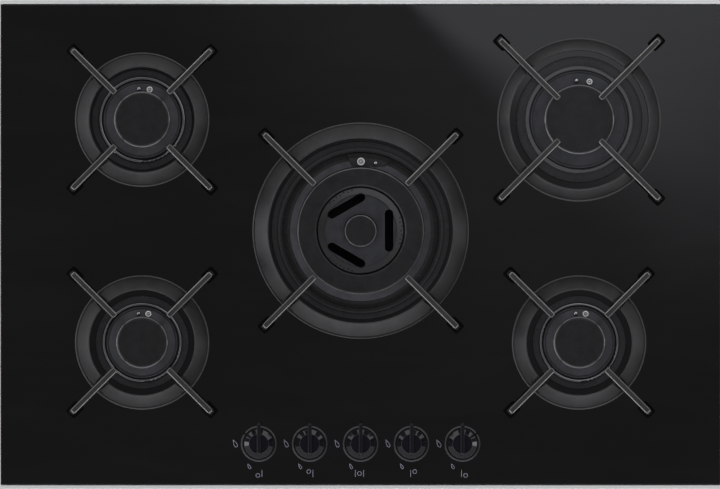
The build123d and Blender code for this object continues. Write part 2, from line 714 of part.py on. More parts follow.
def casing_tray():
    """The pressed steel tray under the glass, with its flange, vents and holes."""
    width = 2 * CASING_HALF_WIDTH
    depth = CASING_REAR_Y - CASING_FRONT_Y
    outside = Pos(0, CASING_MID_Y, 0) * extrude(RectangleRounded(width, depth, CASING_CORNER), GLASS_UNDER_Z)
    inside = Pos(0, CASING_MID_Y, SHEET) * extrude(
        RectangleRounded(width - 2 * SHEET, depth - 2 * SHEET, CASING_CORNER - SHEET), GLASS_UNDER_Z
    )
    flange = Pos(0, CASING_MID_Y, GLASS_UNDER_Z - SHEET) * extrude(
        RectangleRounded(width + 2 * CASING_FLANGE, depth + 2 * CASING_FLANGE, CASING_CORNER + CASING_FLANGE),
        SHEET,
    )
    tray = outside + flange - inside - vent_slots()
    rear_hole = Rot(90, 0, 0) * Cylinder(INLET_THREAD_RADIUS + INLET_HOLE_CLEARANCE, DRILL_DEPTH)
    gland_hole = Rot(90, 0, 0) * Cylinder(GLAND_RADIUS + INLET_HOLE_CLEARANCE, DRILL_DEPTH)
    holes = [
        Pos(INLET_X, CASING_REAR_Y, MANIFOLD_Z) * rear_hole,
        Pos(GLAND_X, CASING_REAR_Y, GLAND_Z) * gland_hole,
    ]
    for x, y in rail_screw_spots():
        holes.append(Pos(x, y, 0) * column(SCREW_RADIUS + THREAD_FIT, -SHEET, 2 * SHEET))
    for side, y in clamp_spots():
        side_hole = Rot(0, 90, 0) * Cylinder(SCREW_RADIUS + THREAD_FIT, DRILL_DEPTH)
        holes.append(Pos(side * CASING_HALF_WIDTH, y, clamp_screw_z()) * side_hole)
    return tray - holes


def bridge_rails():
    """Hat-section rails on the casing's floor, up to the cups and the taps."""
    made = []
    for x0, y0, x1, y1 in rails():
        along_y = y1 - y0 > x1 - x0
        grow_x = RAIL_FLANGE if along_y else 0.0
        grow_y = 0.0 if along_y else RAIL_FLANGE
        feet = block((x0 - grow_x, y0 - grow_y, SHEET), (x1 + grow_x, y1 + grow_y, SHEET + RAIL_SHEET))
        hat = block((x0, y0, SHEET), (x1, y1, RAIL_TOP_Z))
        wall_x = RAIL_SHEET if along_y else -RAIL_SHEET
        wall_y = -RAIL_SHEET if along_y else RAIL_SHEET
        hollow = block((x0 + wall_x, y0 + wall_y, 0), (x1 - wall_x, y1 - wall_y, RAIL_TOP_Z - RAIL_SHEET))
        made.append(feet + hat - hollow)
    hole = column(SCREW_RADIUS + THREAD_FIT, 0, SHEET + 2 * RAIL_SHEET)
    holes = [Pos(x, y, 0) * hole for x, y in rail_screw_spots()]
    return [rail - holes for rail in made]


def casing_screws():
    """Screws that hold the rails on the floor and the clamps on the sides."""
    upright = pan_screw(SCREW_RADIUS, FLOOR_SCREW_LENGTH, SCREW_HEAD_RADIUS, SCREW_HEAD)
    screws = [Pos(x, y, SHEET + RAIL_SHEET) * upright for x, y in rail_screw_spots()]
    level = pan_screw(SCREW_RADIUS, CLAMP_SHEET + SCREW_LENGTH, SCREW_HEAD_RADIUS, SCREW_HEAD)
    for side, y in clamp_spots():
        head_x = side * (CASING_HALF_WIDTH + CLAMP_SHEET)
        screws.append(Pos(head_x, y, clamp_screw_z()) * Rot(0, side * 90, 0) * level)
    return screws


def worktop_clamps():
    """Angle brackets on the casing's sides, whose legs reach under the worktop."""
    clamps = []
    for side, y in clamp_spots():
        wall = CASING_HALF_WIDTH
        low = CLAMP_LIFT
        half = CLAMP_WIDTH / 2
        upright = block((wall, -half, low), (wall + CLAMP_SHEET, half, low + CLAMP_HEIGHT))
        leg = block((wall, -half, low), (wall + CLAMP_REACH, half, low + CLAMP_SHEET))
        drill = Rot(0, 90, 0) * Cylinder(SCREW_RADIUS + THREAD_FIT, DRILL_DEPTH)
        screw_hole = Pos(wall, 0, clamp_screw_z()) * drill
        jack_hole = Pos(jack_x(), 0, 0) * column(JACK_SCREW_RADIUS + THREAD_FIT, 0, CLAMP_HEIGHT)
        clamp = upright + leg - [screw_hole, jack_hole]
        turn = 0 if side > 0 else 180
        clamps.append(Pos(0, y, 0) * Rot(0, 0, turn) * clamp)
    return clamps


def jack_x():
    """The jack screw's axis, out from the middle of the casing."""
    return CASING_HALF_WIDTH + CLAMP_REACH - JACK_TIP_RADIUS - JACK_EDGE_GAP


def clamp_screws():
    """Jack screws that press up against the worktop, each with a round tip plate."""
    low = CLAMP_LIFT - JACK_DROP
    high = low + JACK_SCREW_LENGTH
    jack = column(JACK_SCREW_RADIUS, low, high)
    tip = column(JACK_TIP_RADIUS, high, high + JACK_TIP_THICKNESS)
    screw = jack + tip
    return [Pos(side * jack_x(), y, 0) * screw for side, y in clamp_spots()]


# ================================================================ burners
def burner_screw_spots(burner):
    """Three screws that hold a base and its cup together, clear of plug and probe."""
    orbit = (burner.bowl_radius + burner.cup_radius) / 2
    step = 360.0 / BURNER_SCREWS_PER_BURNER
    return [
        burner.around(orbit, BURNER_SCREW_FIRST_TURN + step * index)
        for index in range(BURNER_SCREWS_PER_BURNER)
    ]


def service_holes(burner, low, high):
    """Cutters for the plug, the probe and the screws through a burner's base or cup."""
    plug_x, plug_y = burner.plug_spot
    probe_x, probe_y = burner.probe_spot
    cutters = [
        Pos(plug_x, plug_y, 0) * column(burner.plug_radius + PLUG_SEAT, low, high),
        Pos(probe_x, probe_y, 0) * column(PROBE_RADIUS + PLUG_SEAT, low, high),
    ]
    for x, y in burner_screw_spots(burner):
        cutters.append(Pos(x, y, 0) * column(BURNER_SCREW_RADIUS + BURNER_SCREW_FIT, low, high))
    return cutters


def plate_window(burner, low, high, inset):
    """The space of the plate that plug and probe stand in: straight in front, its two ends flared."""
    near = burner.cap_radius + inset
    far = burner.base_radius
    left = PLUG_PLATE_LEFT - inset
    right = PLUG_PLATE_RIGHT - inset
    left_flare = (far - near) * math.tan(math.radians(PLUG_PLATE_FLARE_LEFT))
    right_flare = (far - near) * math.tan(math.radians(PLUG_PLATE_FLARE_RIGHT))
    outline = Polyline(
        (-left, near), (right, near), (right + right_flare, far), (-left - left_flare, far), close=True
    )
    return Pos(0, 0, low) * extrude(make_face(outline.edges()), high - low)


def plug_plate(burner, low, high, inset):
    """The raised plate that plug and probe stand in, past the double-ring crown's port wall."""
    disc = column(burner.bead_inner - inset, low, high)
    return disc & plate_window(burner, low, high, inset)


def burner_base(burner):
    """The skirt on the glass: outer rim, flat, raised bead and the floor that the crown sits on."""
    outer = burner.base_radius
    corners = [
        (burner.bowl_radius, 0, 0),
        (outer, 0, 0),
        (outer, BASE_RIM_UP, BASE_RIM_ROUND),
        (outer - BASE_RIM_WIDTH, BASE_RIM_UP, BASE_STEP_ROUND),
        (outer - BASE_RIM_WIDTH, BASE_FLAT_UP, 0),
        (burner.bead_outer, BASE_FLAT_UP, 0),
        (burner.bead_outer, BASE_BEAD_UP, burner.bead_round),
        (burner.bead_inner, BASE_BEAD_UP, burner.bead_round),
        (burner.bead_inner, BASE_FLOOR, 0),
        (burner.bowl_radius, BASE_FLOOR, 0),
    ]
    base = turned(corners)
    top = BASE_BEAD_UP
    if burner is WOK:
        base = base + plug_plate(burner, 0, PLUG_PLATE_UP, PLUG_PLATE_FIT)
        top = PLUG_PLATE_UP
    return base - service_holes(burner, -1, top + 1)


def service_gaps(burner, low, high):
    """The holes in a crown that let it lift past plug and probe."""
    return [
        Pos(x, y, 0) * column(radius + SERVICE_CLEARANCE, low, high)
        for (x, y), radius in ((burner.plug_spot, burner.plug_radius), (burner.probe_spot, PROBE_RADIUS))
    ]


def port_cutters(radius, count, low, high):
    """Radial slots through a port wall at a radius."""
    reach = PORT_WALL_THICKNESS * 2
    slot = Pos(radius, 0, low) * Box(
        reach, PORT_WIDTH, high - low, align=(Align.CENTER, Align.CENTER, Align.MIN)
    )
    return [Rot(0, 0, (index + 0.5) * 360.0 / count) * slot for index in range(count)]


def crown(burner):
    """A flame spreader: mixing tube, chamber, port wall, sloping dish and rim."""
    wall_outer = burner.cap_radius - CAP_OVERHANG
    wall_inner = wall_outer - PORT_WALL_THICKNESS
    rim_inner = burner.crown_radius - CROWN_RIM_WIDTH
    dish_outer = rim_inner - CROWN_GROOVE_WIDTH
    tube_outer = THROAT_RADIUS + THROAT_WALL
    under = CHAMBER_FLOOR_UP - CROWN_WEB
    corners = [
        (THROAT_RADIUS, -THROAT_DROP, 0),
        (tube_outer, -THROAT_DROP, 0),
        (tube_outer, under, 0),
        (rim_inner, under - CROWN_DRAFT, 0),
        (rim_inner, BASE_FLOOR, 0),
        (burner.crown_radius, BASE_FLOOR, 0),
        (burner.crown_radius, CROWN_RIM_UP, CROWN_EDGE_ROUND),
        (rim_inner, CROWN_RIM_UP, CROWN_EDGE_ROUND),
        (rim_inner, CROWN_GROOVE_UP, 0),
        (dish_outer, CROWN_GROOVE_UP, 0),
        (dish_outer, DISH_OUTER_UP, 0),
        (wall_outer, DISH_INNER_UP, CROWN_DISH_ROUND),
        (wall_outer, PORT_WALL_UP, 0),
        (wall_inner, PORT_WALL_UP, 0),
        (wall_inner, CHAMBER_FLOOR_UP, 0),
        (THROAT_RADIUS, CHAMBER_FLOOR_UP, 0),
    ]
    body = turned(corners)
    ports = port_cutters(
        (wall_outer + wall_inner) / 2, burner.port_count, PORT_LOW_UP, PORT_LOW_UP + PORT_HEIGHT
    )
    return body - ports - service_gaps(burner, 0, PORT_WALL_UP)


def cap(burner):
    """A round lid with a rounded shoulder and a locating spigot inside the port wall."""
    edge = burner.cap_radius
    low = PORT_WALL_UP
    top = low + CAP_THICKNESS
    spigot = edge - CAP_OVERHANG - PORT_WALL_THICKNESS - CAP_SPIGOT_CLEARANCE
    corners = [
        (0, top, 0),
        (edge - CAP_SHOULDER_IN, top, CAP_SHOULDER_ROUND),
        (edge, top - CAP_EDGE_DROP, CAP_EDGE_ROUND),
        (edge, low + CAP_LOWER_BEVEL, CAP_LOWER_ROUND),
        (edge - CAP_LOWER_BEVEL, low, 0),
        (spigot, low, 0),
        (spigot, low - CAP_SPIGOT_DEPTH, CAP_SPIGOT_ROUND),
        (spigot - CAP_SPIGOT_WALL, low - CAP_SPIGOT_DEPTH, 0),
        (spigot - CAP_SPIGOT_WALL, low + CAP_RECESS, 0),
        (0, low + CAP_RECESS, 0),
    ]
    return turned(corners)


def wok_crown():
    """The double-ring spreader: two port walls round a chamber, the sloping ring and the slotted floor."""
    burner = WOK
    wall_outer = burner.cap_radius - CAP_OVERHANG
    wall_inner = wall_outer - PORT_WALL_THICKNESS
    inner_wall_in = RING_CAP_INNER + CAP_OVERHANG / 2
    inner_wall_out = inner_wall_in + PORT_WALL_THICKNESS
    rim_outer = burner.crown_radius
    slope_in = SLOPE_RING_OUTER - SLOPE_RING_WIDTH
    under = INNER_FLOOR_UP - INNER_FLOOR_THICKNESS
    tube_outer = THROAT_RADIUS + THROAT_WALL
    boss_top = INNER_FLOOR_UP + CENTRE_CAP_BOSS_HEIGHT
    corners = [
        (THROAT_RADIUS, -THROAT_DROP, 0),
        (tube_outer, -THROAT_DROP, 0),
        (tube_outer, under, 0),
        (rim_outer - RING_RIM_WIDTH, under, 0),
        (rim_outer - RING_RIM_WIDTH, BASE_FLOOR, 0),
        (rim_outer, BASE_FLOOR, 0),
        (rim_outer, RING_RIM_UP, CROWN_EDGE_ROUND),
        (wall_outer, RING_SLOPE_UP, CROWN_DISH_ROUND),
        (wall_outer, RING_WALL_UP, 0),
        (wall_inner, RING_WALL_UP, 0),
        (wall_inner, CHAMBER_FLOOR_UP, 0),
        (inner_wall_out, CHAMBER_FLOOR_UP, 0),
        (inner_wall_out, RING_WALL_UP, 0),
        (inner_wall_in, RING_WALL_UP, 0),
        (inner_wall_in, RING_GROOVE_UP, 0),
        (SLOPE_RING_OUTER, RING_GROOVE_UP, 0),
        (SLOPE_RING_OUTER, SLOPE_RING_UP, SLOPE_RING_ROUND),
        (slope_in, INNER_FLOOR_UP, 0),
        (CENTRE_CAP_BOSS_RADIUS, INNER_FLOOR_UP, 0),
        (CENTRE_CAP_BOSS_RADIUS, boss_top, 0),
        (THROAT_RADIUS, boss_top, 0),
    ]
    body = turned(corners)
    slot = extrude(SlotOverall(AIR_SLOT_LENGTH, AIR_SLOT_WIDTH), amount=2 * INNER_FLOOR_UP, both=True)
    duct_z = (under + INNER_FLOOR_UP) / 2
    duct_end = (inner_wall_out + wall_inner) / 2
    duct = Pos(duct_end / 2, 0, duct_z) * Rot(0, 90, 0) * Cylinder(GAS_DUCT_RADIUS, duct_end)
    riser = Pos(duct_end, 0, 0) * column(GAS_DUCT_RADIUS, duct_z, CHAMBER_FLOOR_UP + GAS_DUCT_RADIUS)
    cutters = []
    for index in range(AIR_SLOT_COUNT):
        turn = index * 360.0 / AIR_SLOT_COUNT
        half_step = 180.0 / AIR_SLOT_COUNT
        cutters.append(Rot(0, 0, turn) * Pos(AIR_SLOT_RADIUS, 0, 0) * Rot(0, 0, 90) * slot)
        cutters.append(Rot(0, 0, turn + half_step) * duct)
        cutters.append(Rot(0, 0, turn + half_step) * riser)
    cutters += port_cutters(
        (wall_outer + wall_inner) / 2, burner.port_count,
        RING_PORT_LOW_UP, RING_PORT_LOW_UP + PORT_HEIGHT,
    )
    return body - cutters - pilot_ports() - plate_window(burner, 0, RING_WALL_UP, 0)


def pilot_ports():
    """Small drilled flame ports in the sloping ring, in two staggered rows over each air slot."""
    middle = (PILOT_PORTS_PER_GROUP - 1) / 2
    drills = []
    for group in range(AIR_SLOT_COUNT):
        for index in range(PILOT_PORTS_PER_GROUP):
            radius = SLOPE_RING_OUTER - PILOT_ROW_INSET - PILOT_ROW_STAGGER * (index % 2)
            turn = group * 360.0 / AIR_SLOT_COUNT + (index - middle) * PILOT_PORT_STEP
            drill = column(PILOT_PORT_RADIUS, SLOPE_RING_UP - PILOT_PORT_DEPTH, SLOPE_RING_UP + 1)
            drills.append(Rot(0, 0, turn) * Pos(radius, 0, 0) * drill)
    return drills


def wok_ring_cap():
    """The ring-shaped lid over the outer chamber, with spigots inside both port walls."""
    edge = WOK.cap_radius
    low = RING_WALL_UP
    top = low + CAP_THICKNESS
    outer_spigot = edge - CAP_OVERHANG - PORT_WALL_THICKNESS - CAP_SPIGOT_CLEARANCE
    corners = [
        (RING_CAP_INNER, low, 0),
        (RING_CAP_INNER, top - RING_CAP_INNER_DROP, RING_CAP_INNER_ROUND),
        (RING_CAP_INNER + RING_CAP_INNER_BEVEL, top, RING_CAP_INNER_ROUND),
        (edge - RING_CAP_SHOULDER_IN, top, RING_CAP_SHOULDER_ROUND),
        (edge, top - CAP_EDGE_DROP, CAP_EDGE_ROUND),
        (edge, low + CAP_LOWER_BEVEL, CAP_LOWER_ROUND),
        (edge - CAP_LOWER_BEVEL, low, 0),
        (outer_spigot, low, 0),
        (outer_spigot, low - CAP_SPIGOT_DEPTH, CAP_SPIGOT_ROUND),
        (outer_spigot - CAP_SPIGOT_WALL, low - CAP_SPIGOT_DEPTH, 0),
        (outer_spigot - CAP_SPIGOT_WALL, low, 0),
    ]
    return turned(corners)


def wok_centre_cap():
    """The small lid over the middle of the double-ring burner, with a pin in the mixing tube."""
    low = INNER_FLOOR_UP + CENTRE_CAP_BOSS_HEIGHT
    top = low + CENTRE_CAP_THICKNESS
    pin = THROAT_RADIUS - CAP_SPIGOT_CLEARANCE
    corners = [
        (0, top, 0),
        (CENTRE_CAP_RADIUS - CENTRE_CAP_SHOULDER_IN, top, CENTRE_CAP_ROUND),
        (CENTRE_CAP_RADIUS, top - CENTRE_CAP_EDGE_DROP, CENTRE_CAP_ROUND),
        (CENTRE_CAP_RADIUS, low + CENTRE_CAP_LOWER_BEVEL, CENTRE_CAP_LOWER_ROUND),
        (CENTRE_CAP_RADIUS - CENTRE_CAP_LOWER_BEVEL, low, 0),
        (pin, low, 0),
        (pin, low - CAP_SPIGOT_DEPTH, CAP_SPIGOT_ROUND),
        (0, low - CAP_SPIGOT_DEPTH, 0),
    ]
    return turned(corners)


def burner_cup(burner):
    """The mixing bowl in the hole of the glass, screwed up to the base, with its gas inlet."""
    floor = CUP_FLOOR_Z - GLASS_Z
    boss_low = RAIL_TOP_Z - GLASS_Z
    radius = burner.bowl_radius
    corners = [
        (radius - CUP_WALL, 0, 0),
        (burner.cup_radius, 0, 0),
        (burner.cup_radius, -CUP_FLANGE, 0),
        (radius, -CUP_FLANGE, CUP_NECK_ROUND),
        (radius, floor, CUP_OUTER_ROUND),
        (CUP_BOSS_RADIUS, floor, 0),
        (CUP_BOSS_RADIUS, boss_low, 0),
        (0, boss_low, 0),
        (0, floor + CUP_WALL, 0),
        (radius - CUP_WALL, floor + CUP_WALL, CUP_INNER_ROUND),
    ]
    inlet_z = TUBE_Z - GLASS_Z
    inlet = Rot(0, 0, -burner.inlet_turn) * Rot(-90, 0, 0) * column(CUP_INLET_RADIUS, 0, burner.inlet_end)
    bowl = turned(corners) + Pos(0, 0, inlet_z) * inlet
    return bowl - service_holes(burner, -CUP_FLANGE - 1, 1)


def injector(burner):
    """The brass jet on the floor of the bowl."""
    low = CUP_FLOOR_Z + CUP_WALL - GLASS_Z
    body = Pos(0, 0, low) * extrude(RegularPolygon(INJECTOR_HEX / 2, 6), INJECTOR_HEIGHT / 2)
    neck = INJECTOR_HEX / 2 - INJECTOR_NECK_IN
    nose = turned([
        (0, low, 0),
        (neck, low, 0),
        (neck, low + INJECTOR_HEIGHT - INJECTOR_NOSE_HEIGHT, 0),
        (INJECTOR_TIP_RADIUS, low + INJECTOR_HEIGHT, 0),
        (0, low + INJECTOR_HEIGHT, 0),
    ])
    return body + nose - column(INJECTOR_BORE, low - 1, low + INJECTOR_HEIGHT + 1)


def burner_screws():
    """The screws through each base into its cup, with their heads on the base's floor."""
    screw = pan_screw(BURNER_SCREW_RADIUS, BURNER_SCREW_LENGTH, BURNER_SCREW_HEAD_RADIUS, BURNER_SCREW_HEAD)
    return [
        burner.place(Pos(x, y, BASE_FLOOR) * screw)
        for burner in BURNERS
        for x, y in burner_screw_spots(burner)
    ]


# ================================================================ plugs and probes
def spark_plug(burner):
    """A ceramic insulator: cupped top, collar under the cup's flange and a tail for the lead."""
    radius = burner.plug_radius
    collar_top = -CUP_FLANGE
    collar_low = collar_top - PLUG_COLLAR_HEIGHT
    tail_low = PLUG_TAIL_Z - GLASS_Z
    bore = radius - PLUG_CUP_WALL
    corners = [
        (ELECTRODE_RADIUS, tail_low, 0),
        (PLUG_TAIL_RADIUS, tail_low, 0),
        (PLUG_TAIL_RADIUS, collar_low, 0),
        (radius + PLUG_COLLAR, collar_low, 0),
        (radius + PLUG_COLLAR, collar_top, 0),
        (radius, collar_top, 0),
        (radius, PLUG_TOP_UP, PLUG_OUTER_ROUND),
        (bore, PLUG_TOP_UP, PLUG_INNER_ROUND),
        (bore, PLUG_TOP_UP - PLUG_CUP_DEPTH, 0),
        (ELECTRODE_RADIUS, PLUG_TOP_UP - PLUG_CUP_DEPTH, 0),
    ]
    x, y = burner.plug_spot
    return burner.place(Pos(x, y, 0) * turned(corners))


def spark_electrode(burner):
    """The metal pin through the insulator, from the lead to above the ceramic."""
    x, y = burner.plug_spot
    top = PLUG_TOP_UP + ELECTRODE_STAND
    pin = column(ELECTRODE_RADIUS, PLUG_TAIL_Z - GLASS_Z, top)
    rounded = fillet(pin.edges().sort_by(Axis.Z)[-1], ELECTRODE_ROUND)
    return burner.place(Pos(x, y, 0) * rounded)


def probe_route(burner, index):
    """The probe's lead: down from the probe and forward between the bowls to its tap's magnet unit."""
    x, y = burner.probe_spot
    start_x, start_y = burner.x + x, burner.y + y
    tap_x = knob_x(index) + MAGNET_X
    tap_y = KNOB_ROW_Y + TAP_DEPTH / 2 + MAGNET_LENGTH
    side = math.copysign(1.0, tap_x if burner is WOK else burner.x)
    lane_end_y = FRONT_ROW_Y + LANE_END_BEHIND
    if burner is WOK:
        lane = WOK.bowl_radius + WOK_LANE_GAP
        middle = [(side * lane, WOK_Y + PROBE_LANE_START), (side * (lane - WOK_LANE_DRAW_IN), lane_end_y)]
    else:
        middle = [(burner.x - side * PROBE_STEP_SIDE, start_y + PROBE_STEP_BACK)]
        if burner not in FRONT_BURNERS:
            middle += [(side * LANE_X, REAR_ROW_Y - PROBE_LANE_START), (side * LANE_X, lane_end_y)]
    middle.append((tap_x, FRONT_ROW_Y - burner.lead_turn_in))
    level = [(px, py, MAGNET_Z) for px, py in [(start_x, start_y)] + middle + [(tap_x, tap_y)]]
    return [(start_x, start_y, PROBE_TAIL_Z)] + level


def thermocouple(burner, index):
    """A probe beside the crown and its copper lead, one piece."""
    x, y = burner.probe_spot
    tip = column(PROBE_RADIUS, PROBE_TAIL_Z - GLASS_Z, PROBE_TOP_UP)
    tip = fillet(tip.edges().sort_by(Axis.Z)[-1], PROBE_TIP_ROUND)
    lead = tube_along(probe_route(burner, index), PROBE_LEAD_RADIUS, PROBE_LEAD_BEND)
    return burner.place(Pos(x, y, 0) * tip) + lead


# ================================================================ pan supports
def support_ring(burner):
    """The flared ring: rim by the glass, groove, sloping band, ridge and inner wall, hollow below."""
    outer = burner.ring_outer
    inner = burner.ring_inner
    wall = SUPPORT_RING_WALL
    low = SUPPORT_RING_BASE_UP
    rim_in = outer - SUPPORT_RIM_WIDTH
    band_low = rim_in - SUPPORT_RIM_GROOVE
    ridge_out = inner + SUPPORT_RIDGE_WIDTH
    corners = [
        (outer, low, 0),
        (outer, SUPPORT_RIM_UP, SUPPORT_RIM_ROUND),
        (rim_in, SUPPORT_RIM_UP, SUPPORT_GROOVE_INNER_ROUND),
        (rim_in, SUPPORT_RIM_UP - SUPPORT_GROOVE_DEPTH, 0),
        (band_low, SUPPORT_RIM_UP - SUPPORT_GROOVE_DEPTH, 0),
        (band_low, SUPPORT_RIM_UP, SUPPORT_GROOVE_OUTER_ROUND),
        (ridge_out, SUPPORT_RIDGE_UP, SUPPORT_RIDGE_ROUND),
        (inner, SUPPORT_RIDGE_UP, SUPPORT_INNER_ROUND),
        (inner, low, 0),
        (inner + wall, low, 0),
        (inner + wall, SUPPORT_RIDGE_UP - SUPPORT_ROOF_DROP, 0),
        (rim_in - wall, low, 0),
    ]
    return turned(corners)


def pocket_cutter(burner):
    """A tapered pocket through the sloping band, wider at the inner edge, down to its floor."""
    inner = burner.ring_inner - POCKET_CUT_PAST
    outer = burner.ring_outer - SUPPORT_RIM_WIDTH - SUPPORT_RIM_GROOVE
    half_in = POCKET_INNER_WIDTH / 2
    half_out = POCKET_OUTER_WIDTH / 2
    outline = Polyline((inner, -half_in), (outer, -half_out), (outer, half_out), (inner, half_in), close=True)
    return Pos(0, 0, SUPPORT_POCKET_FLOOR_UP) * extrude(make_face(outline.edges()), SUPPORT_TOP_UP)


def pocket_floor(burner):
    """The web that closes the ring under a pocket and carries the arm."""
    inner = burner.ring_inner + POCKET_FLOOR_INSET
    outer = burner.ring_outer - SUPPORT_RIM_WIDTH
    half = POCKET_INNER_WIDTH / 2 + SUPPORT_RING_WALL
    slab = block((inner, -half, SUPPORT_RING_BASE_UP), (outer, half, SUPPORT_POCKET_FLOOR_UP))
    band = column(outer, 0, SUPPORT_TOP_UP) - column(inner, 0, SUPPORT_TOP_UP)
    return slab & band


def support_arm(burner):
    """One arm on edge: bar on top, web down to the ring, and an outer leg down to its foot."""
    top = SUPPORT_TOP_UP
    end = burner.arm_end
    tip = burner.tip_radius
    web_in = burner.ring_inner + ARM_WEB_INSET
    web_out = burner.ring_outer - SUPPORT_RIM_WIDTH / 2
    web_low = SUPPORT_RING_BASE_UP + ARM_WEB_LIFT
    leg_in = end - ARM_LEG_WIDTH
    root = top - ARM_ROOT_DEPTH
    corners = [
        (tip, top - ARM_TIP_DEPTH, ARM_TIP_UNDER_ROUND),
        (tip, top, ARM_TIP_TOP_ROUND),
        (end, top, ARM_END_ROUND),
        (end, FOOT_SOLE, 0),
        (leg_in, FOOT_SOLE, 0),
        (leg_in, root, ARM_CORNER_ROUND),
        (web_out + ARM_WEB_FLARE, root, ARM_CORNER_ROUND),
        (web_out, web_low, 0),
        (web_in, web_low, 0),
        (web_in - ARM_WEB_TOE, root - ARM_WEB_DIP, ARM_CORNER_ROUND),
    ]
    arm = plate(corners, ARM_WIDTH)
    upper = arm.edges().filter_by(lambda edge: edge.bounding_box().min.Z > top - ARM_END_ROUND - TINY)
    return chamfer(upper.filter_by(lambda edge: edge.bounding_box().size.Y < TINY), ARM_BEVEL)


def arm_angles():
    return [ARM_FIRST_ANGLE + 360.0 / ARM_COUNT * index for index in range(ARM_COUNT)]


def pan_support(burner):
    """The casting: flared ring with pockets and four arms."""
    angles = arm_angles()
    floor = pocket_floor(burner)
    pocket = pocket_cutter(burner)
    arm = support_arm(burner)
    ring = support_ring(burner) + [Rot(0, 0, angle) * floor for angle in angles]
    ring = ring - [Rot(0, 0, angle) * pocket for angle in angles]
    return burner.place(ring + [Rot(0, 0, angle) * arm for angle in angles])


def support_feet(burner):
    """Four rubber blocks, each with a socket that an arm's leg stands in."""
    outer = burner.arm_end + FOOT_PAST_ARM
    body = Pos(outer - FOOT_LENGTH / 2, 0, 0) * extrude(
        RectangleRounded(FOOT_LENGTH, FOOT_WIDTH, FOOT_CORNER), FOOT_HEIGHT
    )
    body = chamfer(body.faces().sort_by(Axis.Z)[-1].edges(), FOOT_BEVEL)
    half = ARM_WIDTH / 2 + FOOT_FIT
    socket = block(
        (burner.arm_end - ARM_LEG_WIDTH - FOOT_FIT, -half, FOOT_SOLE),
        (burner.arm_end + FOOT_FIT, half, FOOT_HEIGHT + 1),
    )
    foot = body - socket
    return [burner.place(Rot(0, 0, angle) * foot) for angle in arm_angles()]


# ================================================================ knobs and taps
def at_knob(index, shape):
    """Set a shape modelled round the Z axis, up from the glass, at a knob."""
    return Pos(knob_x(index), KNOB_ROW_Y, GLASS_Z) * shape


def knob_bezel():
    """The ring on the glass round a knob."""
    return turned([
        (BEZEL_BORE, 0, 0),
        (BEZEL_RADIUS, 0, 0),
        (BEZEL_RADIUS, BEZEL_OUTER_UP, BEZEL_OUTER_ROUND),
        (BEZEL_BORE, BEZEL_INNER_UP, BEZEL_INNER_ROUND),
    ])


def spindle_bore(radius, low, high):
    """A round hole with the flat of the spindle."""
    flat_y = SPINDLE_RADIUS - SPINDLE_FLAT_DEPTH + (radius - SPINDLE_RADIUS)
    keep = block((-radius, -radius, low), (radius, flat_y, high))
    return column(radius, low, high) & keep


def knob():
    """The knob: cone skirt, sunk round face, hub and the pointer blade across it."""
    disc_up = KNOB_TOP_UP - KNOB_DISC_DROP
    face_under = disc_up - KNOB_SHELL
    body = turned([
        (0, KNOB_BOTTOM_UP + KNOB_HUB_GAP, 0),
        (KNOB_HUB_RADIUS, KNOB_BOTTOM_UP + KNOB_HUB_GAP, 0),
        (KNOB_HUB_RADIUS, face_under, 0),
        (KNOB_CONE_TOP_RADIUS - KNOB_SHELL, face_under, 0),
        (KNOB_RADIUS - KNOB_SHELL, KNOB_SKIRT_TOP_UP - KNOB_SHELL / 2, 0),
        (KNOB_RADIUS - KNOB_SHELL, KNOB_BOTTOM_UP, 0),
        (KNOB_RADIUS, KNOB_BOTTOM_UP, KNOB_FOOT_ROUND),
        (KNOB_RADIUS, KNOB_SKIRT_TOP_UP, KNOB_CONE_FOOT_ROUND),
        (KNOB_CONE_TOP_RADIUS, KNOB_TOP_UP, KNOB_CONE_HEAD_ROUND),
        (KNOB_DISC_RADIUS, KNOB_TOP_UP, 0),
        (KNOB_DISC_RADIUS, disc_up, 0),
        (0, disc_up, 0),
    ])
    blade = Rot(0, 0, 90) * plate(
        [
            (-BLADE_FRONT, disc_up - KNOB_SHELL / 2, 0),
            (-BLADE_FRONT, BLADE_TOP_UP, BLADE_ROUND * 2),
            (BLADE_REAR - BLADE_ROUND * 2, BLADE_TOP_UP, BLADE_ROUND * 2),
            (BLADE_REAR, BLADE_TIP_UP, BLADE_ROUND),
            (BLADE_REAR, BLADE_UNDER_UP, BLADE_ROUND),
            (KNOB_RADIUS, BLADE_UNDER_UP, 0),
            (KNOB_CONE_TOP_RADIUS - KNOB_SHELL / 2, disc_up - KNOB_SHELL / 2, 0),
        ],
        BLADE_WIDTH,
    )
    upper = blade.edges().filter_by(lambda edge: edge.bounding_box().min.Z > disc_up + BLADE_RIDGE_CLEAR)
    blade = fillet(upper.filter_by(lambda edge: edge.bounding_box().size.X < TINY), BLADE_RIDGE_ROUND)
    bore = spindle_bore(SPINDLE_RADIUS + KNOB_BORE_FIT, KNOB_BOTTOM_UP, SPINDLE_TOP_UP)
    return body + blade - bore


def spindle():
    """The tap's shaft: flat at the top, shoulder over the collar, tip in the tap."""
    shoulder_low = COLLAR_TOP_Z - GLASS_Z
    tip = TAP_TOP_Z + TAP_BONNET_HEIGHT - SPINDLE_TIP_IN_TAP - GLASS_Z
    shaft = column(SPINDLE_RADIUS, tip, SPINDLE_TOP_UP)
    shaft = chamfer(shaft.edges().sort_by(Axis.Z)[-1], SPINDLE_BEVEL)
    shoulder = column(SPINDLE_SHOULDER_RADIUS, shoulder_low, shoulder_low + SPINDLE_SHOULDER_HEIGHT)
    flat = block(
        (-SPINDLE_RADIUS, SPINDLE_RADIUS - SPINDLE_FLAT_DEPTH, SPINDLE_TOP_UP - SPINDLE_FLAT_LENGTH),
        (SPINDLE_RADIUS, SPINDLE_RADIUS + 1, SPINDLE_TOP_UP + 1),
    )
    return shaft + shoulder - flat


